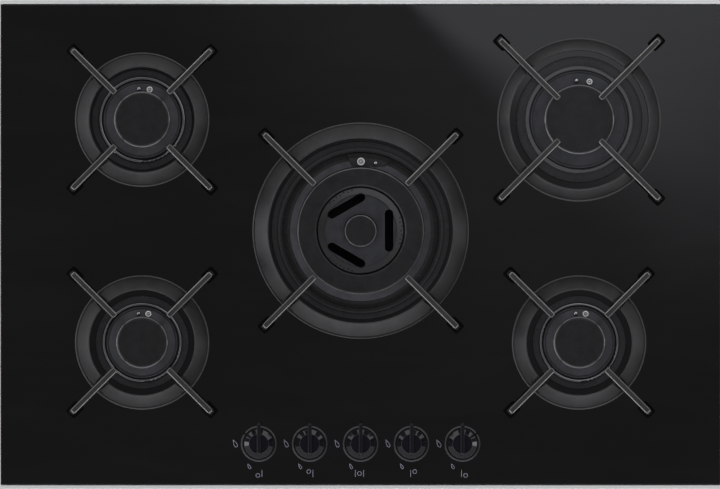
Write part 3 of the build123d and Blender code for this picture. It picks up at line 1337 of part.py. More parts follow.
def push_collar():
    """The ring that goes down with the spindle without turning, and its arm over the switch."""
    top = COLLAR_TOP_Z - GLASS_Z
    low = top - COLLAR_HEIGHT
    half = COLLAR_ARM_WIDTH / 2
    ring = column(COLLAR_RADIUS, low, top)
    arm = block((-COLLAR_ARM_REACH, -half, low), (0, half, low + COLLAR_ARM_THICKNESS))
    return ring + arm - column(SPINDLE_RADIUS + SPINDLE_FIT, low - 1, top + 1)


def gas_tap(index):
    """The tap body with its bonnet, outlet and magnet unit."""
    rear = KNOB_ROW_Y + TAP_DEPTH / 2
    x = knob_x(index)
    bonnet_top = TAP_TOP_Z + TAP_BONNET_HEIGHT
    half = TAP_WIDTH / 2
    body = block((x - half, KNOB_ROW_Y - TAP_DEPTH / 2, RAIL_TOP_Z), (x + half, rear, TAP_TOP_Z))
    body = chamfer(body.edges().filter_by(Axis.Z), TAP_BEVEL)
    bonnet = Pos(x, KNOB_ROW_Y, 0) * column(TAP_BONNET_RADIUS, TAP_TOP_Z, bonnet_top)
    to_rear = Rot(-90, 0, 0)
    outlet_bar = to_rear * column(TAP_OUTLET_RADIUS, -TAP_ROOT, TAP_OUTLET_LENGTH)
    outlet = Pos(x + TAP_OUTLET_X, rear, TUBE_Z) * outlet_bar
    magnet = Pos(x + MAGNET_X, rear, MAGNET_Z) * to_rear * column(MAGNET_RADIUS, -TAP_ROOT, MAGNET_LENGTH)
    bore_low = bonnet_top - SPINDLE_TIP_IN_TAP - KNOB_TRAVEL - TAP_BORE_SPARE
    bore = Pos(x, KNOB_ROW_Y, 0) * column(SPINDLE_RADIUS + SPINDLE_FIT, bore_low, bonnet_top + 1)
    return body + bonnet + outlet + magnet - bore


def tap_switch(index):
    """The ignition switch on the side of a tap, its plunger under the collar's arm."""
    right = knob_x(index) - TAP_WIDTH / 2
    arm_low = COLLAR_TOP_Z - COLLAR_HEIGHT
    plunger_top = arm_low - KNOB_TRAVEL - SWITCH_PLUNGER_GAP
    body_top = plunger_top - SWITCH_PLUNGER_UP
    half = SWITCH_DEPTH / 2
    body = block(
        (right - SWITCH_WIDTH, KNOB_ROW_Y - half, body_top - SWITCH_HEIGHT),
        (right, KNOB_ROW_Y + half, body_top),
    )
    plunger_x = knob_x(index) - COLLAR_ARM_REACH + COLLAR_ARM_WIDTH / 2
    plunger = Pos(plunger_x, KNOB_ROW_Y, 0) * column(
        SWITCH_PLUNGER_RADIUS, body_top - SWITCH_PLUNGER_ROOT, plunger_top
    )
    return body + plunger


def gas_manifold():
    """The rail of gas along the taps, back along the right side to the inlet, with a saddle at each tap."""
    start = (knob_x(0) - MANIFOLD_OVERRUN, MANIFOLD_Y, MANIFOLD_Z)
    corner = (INLET_X, MANIFOLD_Y, MANIFOLD_Z)
    end = (INLET_X, CASING_REAR_Y - SHEET - INLET_HEX_LENGTH, MANIFOLD_Z)
    rail = tube_along([start, corner, end], MANIFOLD_RADIUS, MANIFOLD_BEND)
    face_y = KNOB_ROW_Y - TAP_DEPTH / 2
    half = MANIFOLD_SADDLE / 2
    low_z = max(RAIL_TOP_Z, MANIFOLD_Z - half)
    saddles = [
        block((knob_x(index) - half, MANIFOLD_Y, low_z), (knob_x(index) + half, face_y, MANIFOLD_Z + half))
        for index in range(KNOB_COUNT)
    ]
    return rail + saddles


def gas_inlet():
    """The hexagon inside the casing and the male thread through its rear wall."""
    hex_start = CASING_REAR_Y - SHEET - INLET_HEX_LENGTH
    hexagon = extrude(Rot(0, 0, 30) * RegularPolygon(INLET_HEX, 6, major_radius=False), INLET_HEX_LENGTH)
    thread_start = INLET_HEX_LENGTH + SHEET
    thread_end = thread_start + INLET_THREAD_LENGTH
    neck = column(INLET_NECK_RADIUS, INLET_HEX_LENGTH, thread_start)
    thread = column(INLET_THREAD_RADIUS, thread_start, thread_end)
    bore = column(INLET_BORE, INLET_BACK, thread_end + 1)
    fitting = hexagon + neck + thread - bore
    return Pos(INLET_X, hex_start, MANIFOLD_Z) * Rot(-90, 0, 0) * fitting


def tube_route(burner, index):
    """A supply tube from its tap's outlet to the inlet of its cup, clear of the other cups."""
    start_x = knob_x(index) + TAP_OUTLET_X
    start_y = KNOB_ROW_Y + TAP_DEPTH / 2 + TAP_OUTLET_LENGTH
    inlet_x, inlet_y = burner.around(burner.inlet_end, burner.inlet_turn)
    end_x, end_y = burner.x + inlet_x, burner.y + inlet_y
    middle_y = (start_y + end_y) / 2
    if burner is WOK:
        middle = [(start_x, middle_y - TUBE_SIDESTEP), (end_x, middle_y + TUBE_SIDESTEP)]
    elif burner in FRONT_BURNERS:
        row_y = middle_y - TUBE_ROW_SHIFT
        middle = [(start_x, row_y), (burner.x, row_y)]
    else:
        lane = math.copysign(LANE_X + TUBE_LANE_OFFSET, burner.x)
        middle = [
            (start_x, FRONT_ROW_Y - TUBE_TURN_IN),
            (lane, FRONT_ROW_Y + TUBE_LANE_START),
            (lane, burner.y),
        ]
    return [(x, y, TUBE_Z) for x, y in [(start_x, start_y)] + middle + [(end_x, end_y)]]


def burner_tubes():
    return [
        tube_along(tube_route(burner, index), TUBE_RADIUS, WOK_TUBE_BEND if burner is WOK else TUBE_BEND)
        for index, burner in enumerate(KNOB_BURNERS)
    ]


# ================================================================ ignition and cable entry
def igniter_y():
    return REAR_ROW_Y + IGNITER_Y_INSET


def ignition_unit():
    """The spark generator on the casing's floor, with an outlet for each lead."""
    half = IGNITER_LENGTH / 2
    y = igniter_y()
    body = block((-half, y - IGNITER_DEPTH / 2, SHEET), (half, y + IGNITER_DEPTH / 2, SHEET + IGNITER_HEIGHT))
    body = fillet(body.edges().filter_by(Axis.Z), IGNITER_CORNER)
    top = SHEET + IGNITER_HEIGHT
    outlet = column(IGNITER_OUTLET_RADIUS, top - IGNITER_OUTLET_ROOT, top + IGNITER_OUTLET_HEIGHT)
    return body + [Pos(outlet_x(index), y, 0) * outlet for index in range(KNOB_COUNT)]


def outlet_x(index):
    return (index - (KNOB_COUNT - 1) / 2) * IGNITER_LENGTH / (KNOB_COUNT + 1)


def lead_route(burner, index):
    """An ignition lead: up from the unit, level under the glass and up to the plug's tail."""
    plug_x, plug_y = burner.plug_spot
    end_x, end_y = burner.x + plug_x, burner.y + plug_y
    start_x, start_y = outlet_x(index), igniter_y()
    if burner is WOK:
        middle = []
    elif burner in FRONT_BURNERS:
        lane = math.copysign(LANE_X + LEAD_LANE_OFFSET, burner.x)
        middle = [
            (lane, REAR_ROW_Y - LEAD_LANE_START),
            (lane, FRONT_ROW_Y + LANE_END_BEHIND),
            (end_x, FRONT_ROW_Y + LEAD_ROW_BEHIND),
        ]
    else:
        lane = math.copysign(LANE_X, burner.x)
        middle = [(lane, start_y + LEAD_REAR_STEP), (end_x, start_y + LEAD_REAR_REACH)]
    top = SHEET + IGNITER_HEIGHT + IGNITER_OUTLET_HEIGHT
    level = [(x, y, LEAD_Z) for x, y in [(start_x, start_y)] + middle + [(end_x, end_y)]]
    return [(start_x, start_y, top)] + level + [(end_x, end_y, PLUG_TAIL_Z)]


def ignition_leads():
    return [
        tube_along(lead_route(burner, index), LEAD_RADIUS, LEAD_BEND)
        for index, burner in enumerate(KNOB_BURNERS)
    ]


def cable_gland():
    """The gland in the rear wall for the mains lead: flange outside, nut inside, bore for the lead."""
    nut = extrude(RegularPolygon(GLAND_NUT_RADIUS, 6, major_radius=False), GLAND_NUT_LENGTH)
    inside_y = CASING_REAR_Y - SHEET - GLAND_NUT_LENGTH
    barrel = column(GLAND_RADIUS, 0, GLAND_LENGTH)
    outside = GLAND_NUT_LENGTH + SHEET
    collar = column(GLAND_NUT_RADIUS, outside, outside + GLAND_COLLAR_LENGTH)
    gland = nut + barrel + collar - column(GLAND_BORE, -1, GLAND_LENGTH + 1)
    return Pos(GLAND_X, inside_y, GLAND_Z) * Rot(-90, 0, 0) * gland


# ================================================================ the whole cooktop
def build():
    os.makedirs("parts", exist_ok=True)

    write("glass_top", glass_top())
    write("edge_trims", edge_trims())
    write("worktop_seal", worktop_seal())

    write("casing_tray", casing_tray())
    write("bridge_rails", bridge_rails())
    write("casing_screws", casing_screws())
    write("worktop_clamps", worktop_clamps())
    write("clamp_screws", clamp_screws())

    write("burner_bases", [burner.place(burner_base(burner)) for burner in BURNERS])
    write("burner_cups", [burner.place(burner_cup(burner)) for burner in BURNERS])
    write("injectors", [burner.place(injector(burner)) for burner in BURNERS])
    write("burner_screws", burner_screws())
    write("spark_plugs", [spark_plug(burner) for burner in BURNERS])
    write("spark_electrodes", [spark_electrode(burner) for burner in BURNERS])
    write("thermocouples", [thermocouple(burner, index) for index, burner in enumerate(KNOB_BURNERS)])

    write("gas_taps", [gas_tap(index) for index in range(KNOB_COUNT)])
    write("tap_switches", [tap_switch(index) for index in range(KNOB_COUNT)])
    write("gas_manifold", gas_manifold())
    write("gas_inlet", gas_inlet())
    write("burner_tubes", burner_tubes())
    write("ignition_unit", ignition_unit())
    write("ignition_leads", ignition_leads())
    write("cable_gland", cable_gland())
    write("knob_bezels", [at_knob(index, knob_bezel()) for index in range(KNOB_COUNT)])

    for burner in SINGLE_RING:
        write(f"{burner.name}_crown", burner.place(crown(burner)))
        write(f"{burner.name}_cap", burner.place(cap(burner)))
    write("wok_crown", WOK.place(wok_crown()))
    write("wok_ring_cap", WOK.place(wok_ring_cap()))
    write("wok_centre_cap", WOK.place(wok_centre_cap()))

    for burner in BURNERS:
        write(f"{burner.name}_pan_support", pan_support(burner))
        write(f"{burner.name}_support_feet", support_feet(burner))

    for index, burner in enumerate(KNOB_BURNERS):
        write(f"{burner.name}_knob", at_knob(index, knob()))
        write(f"{burner.name}_spindle", at_knob(index, spindle()))
        write(f"{burner.name}_push_collar", at_knob(index, push_collar()))


build()
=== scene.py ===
# %% [markdown]
# # A gas cooktop in Blender
#
# The shapes that work, such as burners, knobs and taps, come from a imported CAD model. This lesson loads
# that model, sets a camera straight above it, lights it like a product on a sweep, and then gives each
# part the form and the finish that it has in a shop: black glass, enamelled iron, bluish castings,
# brushed trims and gloss knobs. Lengths are in metres, and +Y is the rear of the cooktop.

import math

import bpy
from mathutils import Matrix, Vector


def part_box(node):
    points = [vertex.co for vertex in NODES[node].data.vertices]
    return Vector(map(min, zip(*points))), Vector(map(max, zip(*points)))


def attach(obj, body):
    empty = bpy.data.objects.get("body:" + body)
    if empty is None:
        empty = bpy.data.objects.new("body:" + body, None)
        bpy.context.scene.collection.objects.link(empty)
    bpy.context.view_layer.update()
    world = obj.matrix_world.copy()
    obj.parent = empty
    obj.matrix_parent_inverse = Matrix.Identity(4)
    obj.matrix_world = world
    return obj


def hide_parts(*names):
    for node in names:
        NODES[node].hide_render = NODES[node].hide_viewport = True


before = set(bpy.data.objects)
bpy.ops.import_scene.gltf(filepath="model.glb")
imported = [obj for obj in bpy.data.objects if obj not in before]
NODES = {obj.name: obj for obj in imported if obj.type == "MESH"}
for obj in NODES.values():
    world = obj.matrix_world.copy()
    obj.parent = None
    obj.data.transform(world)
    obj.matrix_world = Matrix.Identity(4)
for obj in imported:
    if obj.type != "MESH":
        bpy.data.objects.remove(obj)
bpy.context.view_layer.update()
MM = 0.001

# %% [markdown]
# ## Where things are
#
# Each burner and each knob is a set of CAD nodes that share the start of their names. The box round a
# node gives its middle and its size, so nothing is measured twice.

# %% Middles and radii from the boxes
BURNERS = ["rear_left", "front_left", "front_right", "rear_right", "wok"]
SINGLE_RING = BURNERS[:4]


def middle(node):
    """The middle of a node's box."""
    low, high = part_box(node)
    return (low + high) / 2


def outer_radius(node):
    """Half the width of a round node, in millimetres."""
    low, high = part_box(node)
    return (high.x - low.x) / 2 / MM


GLASS_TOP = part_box("glass_top")[1].z
GLASS_MIDDLE = Vector((0.0, 0.0, 0.0))
CENTRES = {name: middle(f"{name}_crown") for name in BURNERS}
KNOB_CENTRES = {name: middle(f"{name}_spindle") for name in BURNERS}
for name, centre in CENTRES.items():
    print(f"{name:12s} at {centre.x:+.4f} {centre.y:+.4f}, knob at {KNOB_CENTRES[name].x:+.4f}")

# %% [markdown]
# ## Camera
#
# The photograph looks straight down and shows no perspective: a burner in the corner is as round as the
# one in the middle. An orthographic camera would do that. A camera with a very long lens, far away, does
# it too, and it also works when it is moved to look from the side.

# %% Camera straight above
LENS = 600.0
SENSOR = 36.0
VIEW_WIDTH = 0.750
VIEW_SHIFT_X = -0.00065
camera_data = bpy.data.cameras.new("camera")
camera_data.lens = LENS
camera_data.sensor_width = SENSOR
camera_height = VIEW_WIDTH * LENS / SENSOR
camera_data.clip_end = camera_height * 4
camera = bpy.data.objects.new("camera", camera_data)
camera.location = (VIEW_SHIFT_X, 0.0, GLASS_TOP + camera_height)
bpy.context.scene.collection.objects.link(camera)
bpy.context.scene.camera = camera
bpy.context.scene.view_settings.view_transform = "Standard"
print(f"camera {camera_height:.2f} m above the glass sees {VIEW_WIDTH:.3f} m across")

# %% [markdown]
# ## Node helpers
#
# Materials, groups and geometry trees are all node trees. `add` makes a node and feeds its inputs, either
# with plain values or with the outputs of other nodes. The other helpers add the nodes that come back
# most often and give their output, so that they can be written inside each other like sums.

# %% Functions that add nodes
# The Mix node has a numbered pair of inputs, and an output, for each kind of data.
VECTOR_A, VECTOR_B, VECTOR_OUT = 4, 5, 1
COLOUR_A, COLOUR_B, COLOUR_OUT = 6, 7, 2


def feed(tree, socket, value):
    """Join an input to another node's output, or set it. Colours are given without their alpha."""
    if isinstance(value, bpy.types.NodeSocket):
        tree.links.new(value, socket)
    elif socket.type == "RGBA":
        socket.default_value = (*value, 1.0)
    else:
        socket.default_value = value


def add(tree, kind, values=(), **settings):
    """Make a node, set its properties and feed its named or numbered inputs."""
    node = tree.nodes.new(kind)
    for key, value in settings.items():
        setattr(node, key, value)
    for key, value in dict(values).items():
        feed(tree, node.inputs[key], value)
    return node


def spaced(values):
    """Keyword names turned into socket names, which have spaces."""
    return {key.replace("_", " "): value for key, value in values.items()}


def fold(tree, operation, *operands):
    """Join sockets and numbers, two at a time, with one kind of Math node."""
    total = operands[0]
    for operand in operands[1:]:
        total = add(tree, "ShaderNodeMath", {0: total, 1: operand}, operation=operation).outputs[0]
    return total


def times(tree, *factors):
    """The product of sockets and numbers."""
    return fold(tree, "MULTIPLY", *factors)


def plus(tree, *parts):
    """The sum of sockets and numbers."""
    return fold(tree, "ADD", *parts)


def function_of(tree, operation, value):
    """A function of one value, such as its sine."""
    return add(tree, "ShaderNodeMath", {0: value}, operation=operation).outputs[0]


def remap(tree, value, low, high, to_low=0.0, to_high=1.0, shape="SMOOTHSTEP"):
    """Carry a value from one range to another, clamped at both ends."""
    values = {"Value": value, "From Min": low, "From Max": high, "To Min": to_low, "To Max": to_high}
    return add(tree, "ShaderNodeMapRange", values, interpolation_type=shape).outputs["Result"]


def band(tree, value, start, full, fading, end):
    """1 between full and fading, 0 below start and above end."""
    return times(tree, remap(tree, value, start, full), remap(tree, value, end, fading))


def blend(tree, factor, first, second):
    """Mix two numbers."""
    return add(tree, "ShaderNodeMix", {"Factor": factor, "A": first, "B": second}).outputs[0]


def mix(tree, factor, first, second):
    """Mix two colours, each a socket or an (r, g, b) tuple."""
    values = {"Factor": factor, COLOUR_A: first, COLOUR_B: second}
    return add(tree, "ShaderNodeMix", values, data_type="RGBA").outputs[COLOUR_OUT]


def split(tree, vector):
    """The X, Y and Z of a vector."""
    return add(tree, "ShaderNodeSeparateXYZ", {0: vector}).outputs


def scaled(tree, where, scale):
    """Coordinates multiplied along each axis."""
    return add(tree, "ShaderNodeVectorMath", {0: where, 1: scale}, operation="MULTIPLY").outputs[0]


def dot(tree, first, second):
    """The dot product of two vectors."""
    values = {0: first, 1: second}
    return add(tree, "ShaderNodeVectorMath", values, operation="DOT_PRODUCT").outputs["Value"]


def reach_from_axis(tree, where):
    """Distance from the Z axis."""
    flat = scaled(tree, where, (1.0, 1.0, 0.0))
    return add(tree, "ShaderNodeVectorMath", {0: flat}, operation="LENGTH").outputs["Value"]


def surface_normal(tree):
    """The direction that the surface faces."""
    return add(tree, "ShaderNodeNewGeometry").outputs["Normal"]


def noise(tree, where, scale, detail=3.0, rough=0.5, stretch=None, distortion=0.0):
    """Soft random patches. With a stretch the patches are longer along some axes."""
    if stretch is not None:
        where = add(tree, "ShaderNodeMapping", {"Vector": where, "Scale": stretch}).outputs["Vector"]
    values = {"Vector": where, "Scale": scale, "Detail": detail, "Roughness": rough, "Distortion": distortion}
    return add(tree, "ShaderNodeTexNoise", values).outputs["Fac"]


def place(tree, centre=None, turn=0.0):
    """Object coordinates. With a centre they start there, at the height of the glass."""
    where = add(tree, "ShaderNodeTexCoord").outputs["Object"]
    if centre is None and turn == 0.0:
        return where
    origin = Vector((0, 0, 0)) if centre is None else Vector((-centre.x, -centre.y, -GLASS_TOP))
    values = {"Vector": where, "Location": origin, "Rotation": (0, 0, turn)}
    return add(tree, "ShaderNodeMapping", values).outputs["Vector"]


def make_group(name, inputs, build, output_kind="Float", tree_type="ShaderNodeTree"):
    """A node group with inputs as (name, kind, default). build takes their sockets and gives the outputs."""
    tree = bpy.data.node_groups.new(name, tree_type)
    for label, kind, default in inputs:
        socket = tree.interface.new_socket(name=label, in_out="INPUT", socket_type="NodeSocket" + kind)
        if default is not None:
            socket.default_value = default
    outputs = build(tree, *tree.nodes.new("NodeGroupInput").outputs[:len(inputs)])
    for label in outputs:
        tree.interface.new_socket(name=label, in_out="OUTPUT", socket_type="NodeSocket" + output_kind)
    add(tree, "NodeGroupOutput", outputs)
    return tree


def use(tree, group, **inputs):
    """Put a node group into a tree, feed its inputs and give its outputs."""
    return add(tree, "ShaderNodeGroup", spaced(inputs), node_tree=group).outputs


def fresh_tree(owner):
    """The emptied node tree of a material, a world or a lamp."""
    owner.use_nodes = True
    owner.node_tree.nodes.clear()
    return owner.node_tree


def new_finish(name, **values):
    """A material with one Principled shader, which holds the values that are the same all over."""
    material = bpy.data.materials.new(name)
    tree = fresh_tree(material)
    shader = add(tree, "ShaderNodeBsdfPrincipled", spaced(values))
    add(tree, "ShaderNodeOutputMaterial", {"Surface": shader.outputs[0]})
    return material, tree


def coat(material, colour, gloss, height=None, depth_mm=0.0, **more):
    """Feed a finish what changes over it: colour, roughness, a height for its relief, and more."""
    tree = material.node_tree
    shader = tree.nodes["Principled BSDF"]
    if height is not None:
        values = {"Strength": 1.0, "Distance": depth_mm * MM, "Height": height}
        more["Normal"] = add(tree, "ShaderNodeBump", values).outputs["Normal"]
    for label, value in {"Base Color": colour, "Roughness": gloss, **spaced(more)}.items():
        feed(tree, shader.inputs[label], value)
    return material


# %% [markdown]
# ## Light
#
# Black enamel and black glass have almost no colour of their own, so what the eye reads as their shape is
# the room that they reflect. Flat parts face up and mirror the dim ceiling. Sloping rings and bevelled
# edges mirror the walls. The room here is one plain dome in the world's shader: dim overhead, paler walls
# at the rear than in front, a strong soft glow at the front left, and low down a strip that is bright at
# the rear and dim in front. Two narrow panels left and right give the chromed rings their highlights.

# %% The dome
CEILING = 0.19
REAR_WALL = 0.82
FRONT_WALL = 0.48
GLOW = 2.30
GLOW_TOWARDS = (-0.48, -0.88, 0.0)
GLOW_HEIGHTS = (0.12, 0.22, 0.42, 0.66)
LOW_REAR = 0.95
LOW_FRONT = 0.28
SIDE_PANEL = 1.3
PANEL_HEIGHTS = (0.04, 0.08, 0.26, 0.32)
SKY_TINT = (0.97, 0.98, 1.0)


def build_dome():
    """World shader whose brightness depends on the direction only."""
    world = bpy.data.worlds.new("studio_dome")
    tree = fresh_tree(world)
    direction = add(tree, "ShaderNodeTexCoord").outputs["Generated"]
    across, back, up = split(tree, direction)
    wall = remap(tree, back, 0.0, 0.55, FRONT_WALL, REAR_WALL)
    glow_side = remap(tree, dot(tree, direction, GLOW_TOWARDS), -0.22, 0.75, 0.0, GLOW)
    glow = times(tree, glow_side, band(tree, up, *GLOW_HEIGHTS))
    panel_side = remap(tree, function_of(tree, "ABSOLUTE", across), 0.975, 0.99, 0.0, SIDE_PANEL)
    panels = times(tree, panel_side, band(tree, up, *PANEL_HEIGHTS))
    low = remap(tree, back, -0.30, -0.05, LOW_FRONT, LOW_REAR)
    room = blend(tree, remap(tree, up, 0.16, 0.08), plus(tree, wall, glow, panels), plus(tree, low, panels))
    light = blend(tree, remap(tree, up, 0.80, 0.93), room, CEILING)
    background = add(tree, "ShaderNodeBackground", {"Color": SKY_TINT, "Strength": light})
    add(tree, "ShaderNodeOutputWorld", {"Surface": background.outputs[0]})
    bpy.context.scene.world = world


build_dome()
print("dome: ceiling", CEILING, "rear wall", REAR_WALL, "glow", GLOW)

# %% [markdown]
# The flat glass shows one thing more: the edge of a large soft box, which runs across its rear right part
# as a slanting line. The line is sharp at the rear and fades towards the front, and a faint skirt lies
# before it. The camera's rays come back from the glass almost straight up, so the box hangs straight
# above, and the lamp's own shader fades it.

# %% The soft box over the rear right corner
BOX_HEIGHT = 1.6
BOX_SIZE = (0.90, 1.06)
BOX_RADIANCE = 0.82
BOX_TINT = (0.93, 0.95, 1.0)
EDGE_REAR = (0.0416, 0.2547)
EDGE_FRONT = (0.2177, 0.0203)
BOX_START = 0.25
SKIRT_WIDTH = 0.28
SKIRT_LEVEL = 0.16
EDGE_BLUR = (0.010, 0.20)


def box_shader(tree):
    """Fade the lamp along its edge, and from its skirt to its full light across it."""
    spot = add(tree, "ShaderNodeNewGeometry").outputs["Parametric"]
    run, depth, _ = split(tree, spot)
    edge_at = SKIRT_WIDTH / BOX_SIZE[1]
    blur = remap(tree, run, 0.20, 0.75, *EDGE_BLUR)
    past_edge = fold(tree, "DIVIDE", fold(tree, "SUBTRACT", depth, edge_at), blur)
    step = remap(tree, past_edge, 0.0, 1.0, 0.0, 1.0 - SKIRT_LEVEL)
    soft = plus(tree, step, remap(tree, depth, 0.0, edge_at, 0.0, SKIRT_LEVEL))
    strength = times(tree, remap(tree, run, 0.93, 0.42), soft)
    glow = add(tree, "ShaderNodeEmission", {"Color": BOX_TINT, "Strength": strength})
    add(tree, "ShaderNodeOutputLight", {"Surface": glow.outputs[0]})


def build_soft_box():
    """An area lamp whose long side lies over the slanting line on the glass."""
    rear = Vector((*EDGE_REAR, 0.0))
    front = Vector((*EDGE_FRONT, 0.0))
    along = (front - rear).normalized()
    across = Vector((-along.y, along.x, 0.0))
    data = bpy.data.lights.new("soft_box", "AREA")
    data.shape = "RECTANGLE"
    data.size, data.size_y = BOX_SIZE
    data.energy = math.pi * BOX_SIZE[0] * BOX_SIZE[1] * BOX_RADIANCE
    box_shader(fresh_tree(data))
    lamp = bpy.data.objects.new("soft_box", data)
    spread = 1.0 + BOX_HEIGHT / camera_height
    corner = rear * spread - along * BOX_SIZE[0] * BOX_START
    centre = corner + along * BOX_SIZE[0] / 2 + across * (BOX_SIZE[1] / 2 - SKIRT_WIDTH)
    axes = Matrix((along, across, along.cross(across))).transposed()
    lamp.matrix_world = Matrix.Translation((centre.x, centre.y, GLASS_TOP + BOX_HEIGHT)) @ axes.to_4x4()
    lamp.visible_camera = False
    bpy.context.scene.collection.objects.link(lamp)
    return lamp


soft_box = build_soft_box()
print("soft box faces", tuple(round(v, 2) for v in soft_box.matrix_world.to_3x3() @ Vector((0, 0, -1))))

# %% The floor
FLOOR_SIZE = 30.0


def build_floor():
    """A pale matt floor under the casing."""
    mesh = bpy.data.meshes.new("floor")
    half = FLOOR_SIZE / 2
    corners = [(-half, -half, 0), (half, -half, 0), (half, half, 0), (-half, half, 0)]
    mesh.from_pydata(corners, [], [(0, 1, 2, 3)])
    floor = bpy.data.objects.new("floor", mesh)
    bpy.context.scene.collection.objects.link(floor)
    mesh.materials.append(coat(new_finish("floor_paint")[0], (0.82, 0.82, 0.81), 0.75))


build_floor()
print("floor", FLOOR_SIZE, "m square")

# %% [markdown]
# ## Patterns that several finishes share
#
# A new cooktop looks clean, but none of its surfaces is even. Glass has faint wipe marks, a casting has
# grain, a turned ring has fine circles and a drawn strip has lines along it. Each of these effects is a
# node group, because more than one finish uses it.

# %% Groups: gloss, grain, circles, lines, worn edges, dust


def uneven_gloss(tree, where, scale, low, high):
    """Roughness that wanders between two values, in patches with fine speckle in them."""
    patches = noise(tree, where, scale, 5.0, 0.65)
    return {"Roughness": remap(tree, patches, 0.30, 0.70, low, high, "LINEAR")}


def sand_grain(tree, where, scale):
    """The skin of a casting or a moulding: small pits with patches of tone over them."""
    pits = add(tree, "ShaderNodeTexVoronoi", {"Vector": where, "Scale": scale}, feature="SMOOTH_F1")
    height = plus(tree, pits.outputs["Distance"], noise(tree, where, scale, 4.0))
    patches = noise(tree, where, times(tree, scale, 0.06), 4.0, 0.6)
    return {"Height": height, "Tone": remap(tree, patches, 0.35, 0.65, shape="LINEAR")}


def turned_lines(tree, where, lines_per_metre):
    """Fine circles round the Z axis, as a lathe or a polishing pad leaves them."""
    values = {"Scale": 1.0, "Detail": 2.0, "W": times(tree, reach_from_axis(tree, where), lines_per_metre)}
    return {"Lines": add(tree, "ShaderNodeTexNoise", values, noise_dimensions="1D").outputs["Fac"]}


def brush_lines(tree, where, scale):
    """Fine lines along X, as a drawn strip or a brushed face has them."""
    return {"Lines": noise(tree, scaled(tree, where, (3.0, 900.0, 900.0)), scale, 3.0, 0.6)}


def edge_wear(tree, where, radius, patches):
    """A mask along outer edges, where coating is thin and rubbed, broken up by patches."""
    rounded = add(tree, "ShaderNodeBevel", {"Radius": radius}, samples=4).outputs[0]
    edge = remap(tree, dot(tree, rounded, surface_normal(tree)), 0.995, 0.90, shape="LINEAR")
    broken = remap(tree, noise(tree, where, patches, 4.0), 0.30, 0.55, 0.45, 1.0, "LINEAR")
    return {"Mask": times(tree, edge, broken)}


def dust_and_wipes(tree, where, amount):
    """Where dust lies and a cloth has passed: faces that look up, in long faint strokes."""
    upward = remap(tree, split(tree, surface_normal(tree))["Z"], 0.60, 0.98, shape="LINEAR")
    strokes = noise(tree, scaled(tree, where, (5.0, 22.0, 10.0)), 1.0, 6.0, 0.6, distortion=0.8)
    return {"Mask": times(tree, upward, remap(tree, strokes, 0.42, 0.78, shape="LINEAR"), amount)}


def pattern(build, **defaults):
    """A shader group of a function that takes coordinates and numbers."""
    numbers = [(label, "Float", value) for label, value in spaced(defaults).items()]
    return make_group(build.__name__, [("Vector", "Vector", None), *numbers], build)


UNEVEN_GLOSS = pattern(uneven_gloss, Scale=60.0, Low=0.2, High=0.4)
SAND_GRAIN = pattern(sand_grain, Scale=900.0)
TURNED_LINES = pattern(turned_lines, Lines_per_metre=3000.0)
BRUSH_LINES = pattern(brush_lines, Scale=3.0)
EDGE_WEAR = pattern(edge_wear, Radius=0.0006, Patches=250.0)
DUST = pattern(dust_and_wipes, Amount=0.5)
print("shared patterns:", ", ".join(group.name for group in bpy.data.node_groups))

# %% [markdown]
# ## Glass, trims and printed ink
#
# The top is toughened glass with black ceramic paint under it, so the colour is almost nothing and all the
# look is the mirror image. It is not a perfect mirror: a cloth leaves strokes that are a little less
# glossy. The trims are extruded aluminium, brushed along their length and anodised.

# %% Glass, trims and ink


def black_glass():
    """Painted glass: near black, mirror-like, with faint wipe marks and dust."""
    material, tree = new_finish("black_glass_wiped", Specular_IOR_Level=0.5)
    where = place(tree)
    dust = use(tree, DUST, Vector=where, Amount=1.0)[0]
    paint = mix(tree, dust, (0.0008, 0.0008, 0.0010), (0.0032, 0.0032, 0.0034))
    wipe = noise(tree, where, 1.0, 5.0, 0.6, stretch=(9.0, 30.0, 9.0))
    gloss = remap(tree, wipe, 0.35, 0.75, 0.020, 0.060)
    return coat(material, paint, gloss, noise(tree, where, 16.0, 1.0), 0.004)


def brushed_trim():
    """Anodised aluminium strip with lines along it and slightly polished edges."""
    material, tree = new_finish("brushed_trim_anodised", Metallic=0.42)
    where = place(tree)
    lines = use(tree, BRUSH_LINES, Vector=where, Scale=2.0)[0]
    worn = use(tree, EDGE_WEAR, Vector=where, Radius=0.0006, Patches=60.0)[0]
    metal = mix(tree, remap(tree, lines, 0.30, 0.70), (0.78, 0.79, 0.79), (0.92, 0.92, 0.91))
    metal = mix(tree, worn, metal, (0.98, 0.98, 0.97))
    return coat(material, metal, remap(tree, lines, 0.30, 0.70, 0.52, 0.34), lines, 0.02)


def ink():
    """Printed ceramic ink: pale lilac, slightly thin in places."""
    material, tree = new_finish("printed_ink")
    cover = noise(tree, place(tree), 1400.0)
    colour = mix(tree, remap(tree, cover, 0.25, 0.60), (0.16, 0.16, 0.21), (0.31, 0.30, 0.39))
    return coat(material, colour, remap(tree, cover, 0.3, 0.7, 0.30, 0.45))


# %% [markdown]
# ## Iron, enamel and castings of the burners
#
# Each burner is a stack. An enamelled base sits on the glass and has a polished bead round its opening, a
# bluish aluminium crown stands in it, and a black enamelled lid lies on top. Enamel is a glass coat, so it
# is smooth and glossy on rounded edges, and where it lies over a casting its face is slightly orange-peeled.
# The circles in these finishes run round the middle of their own burner.

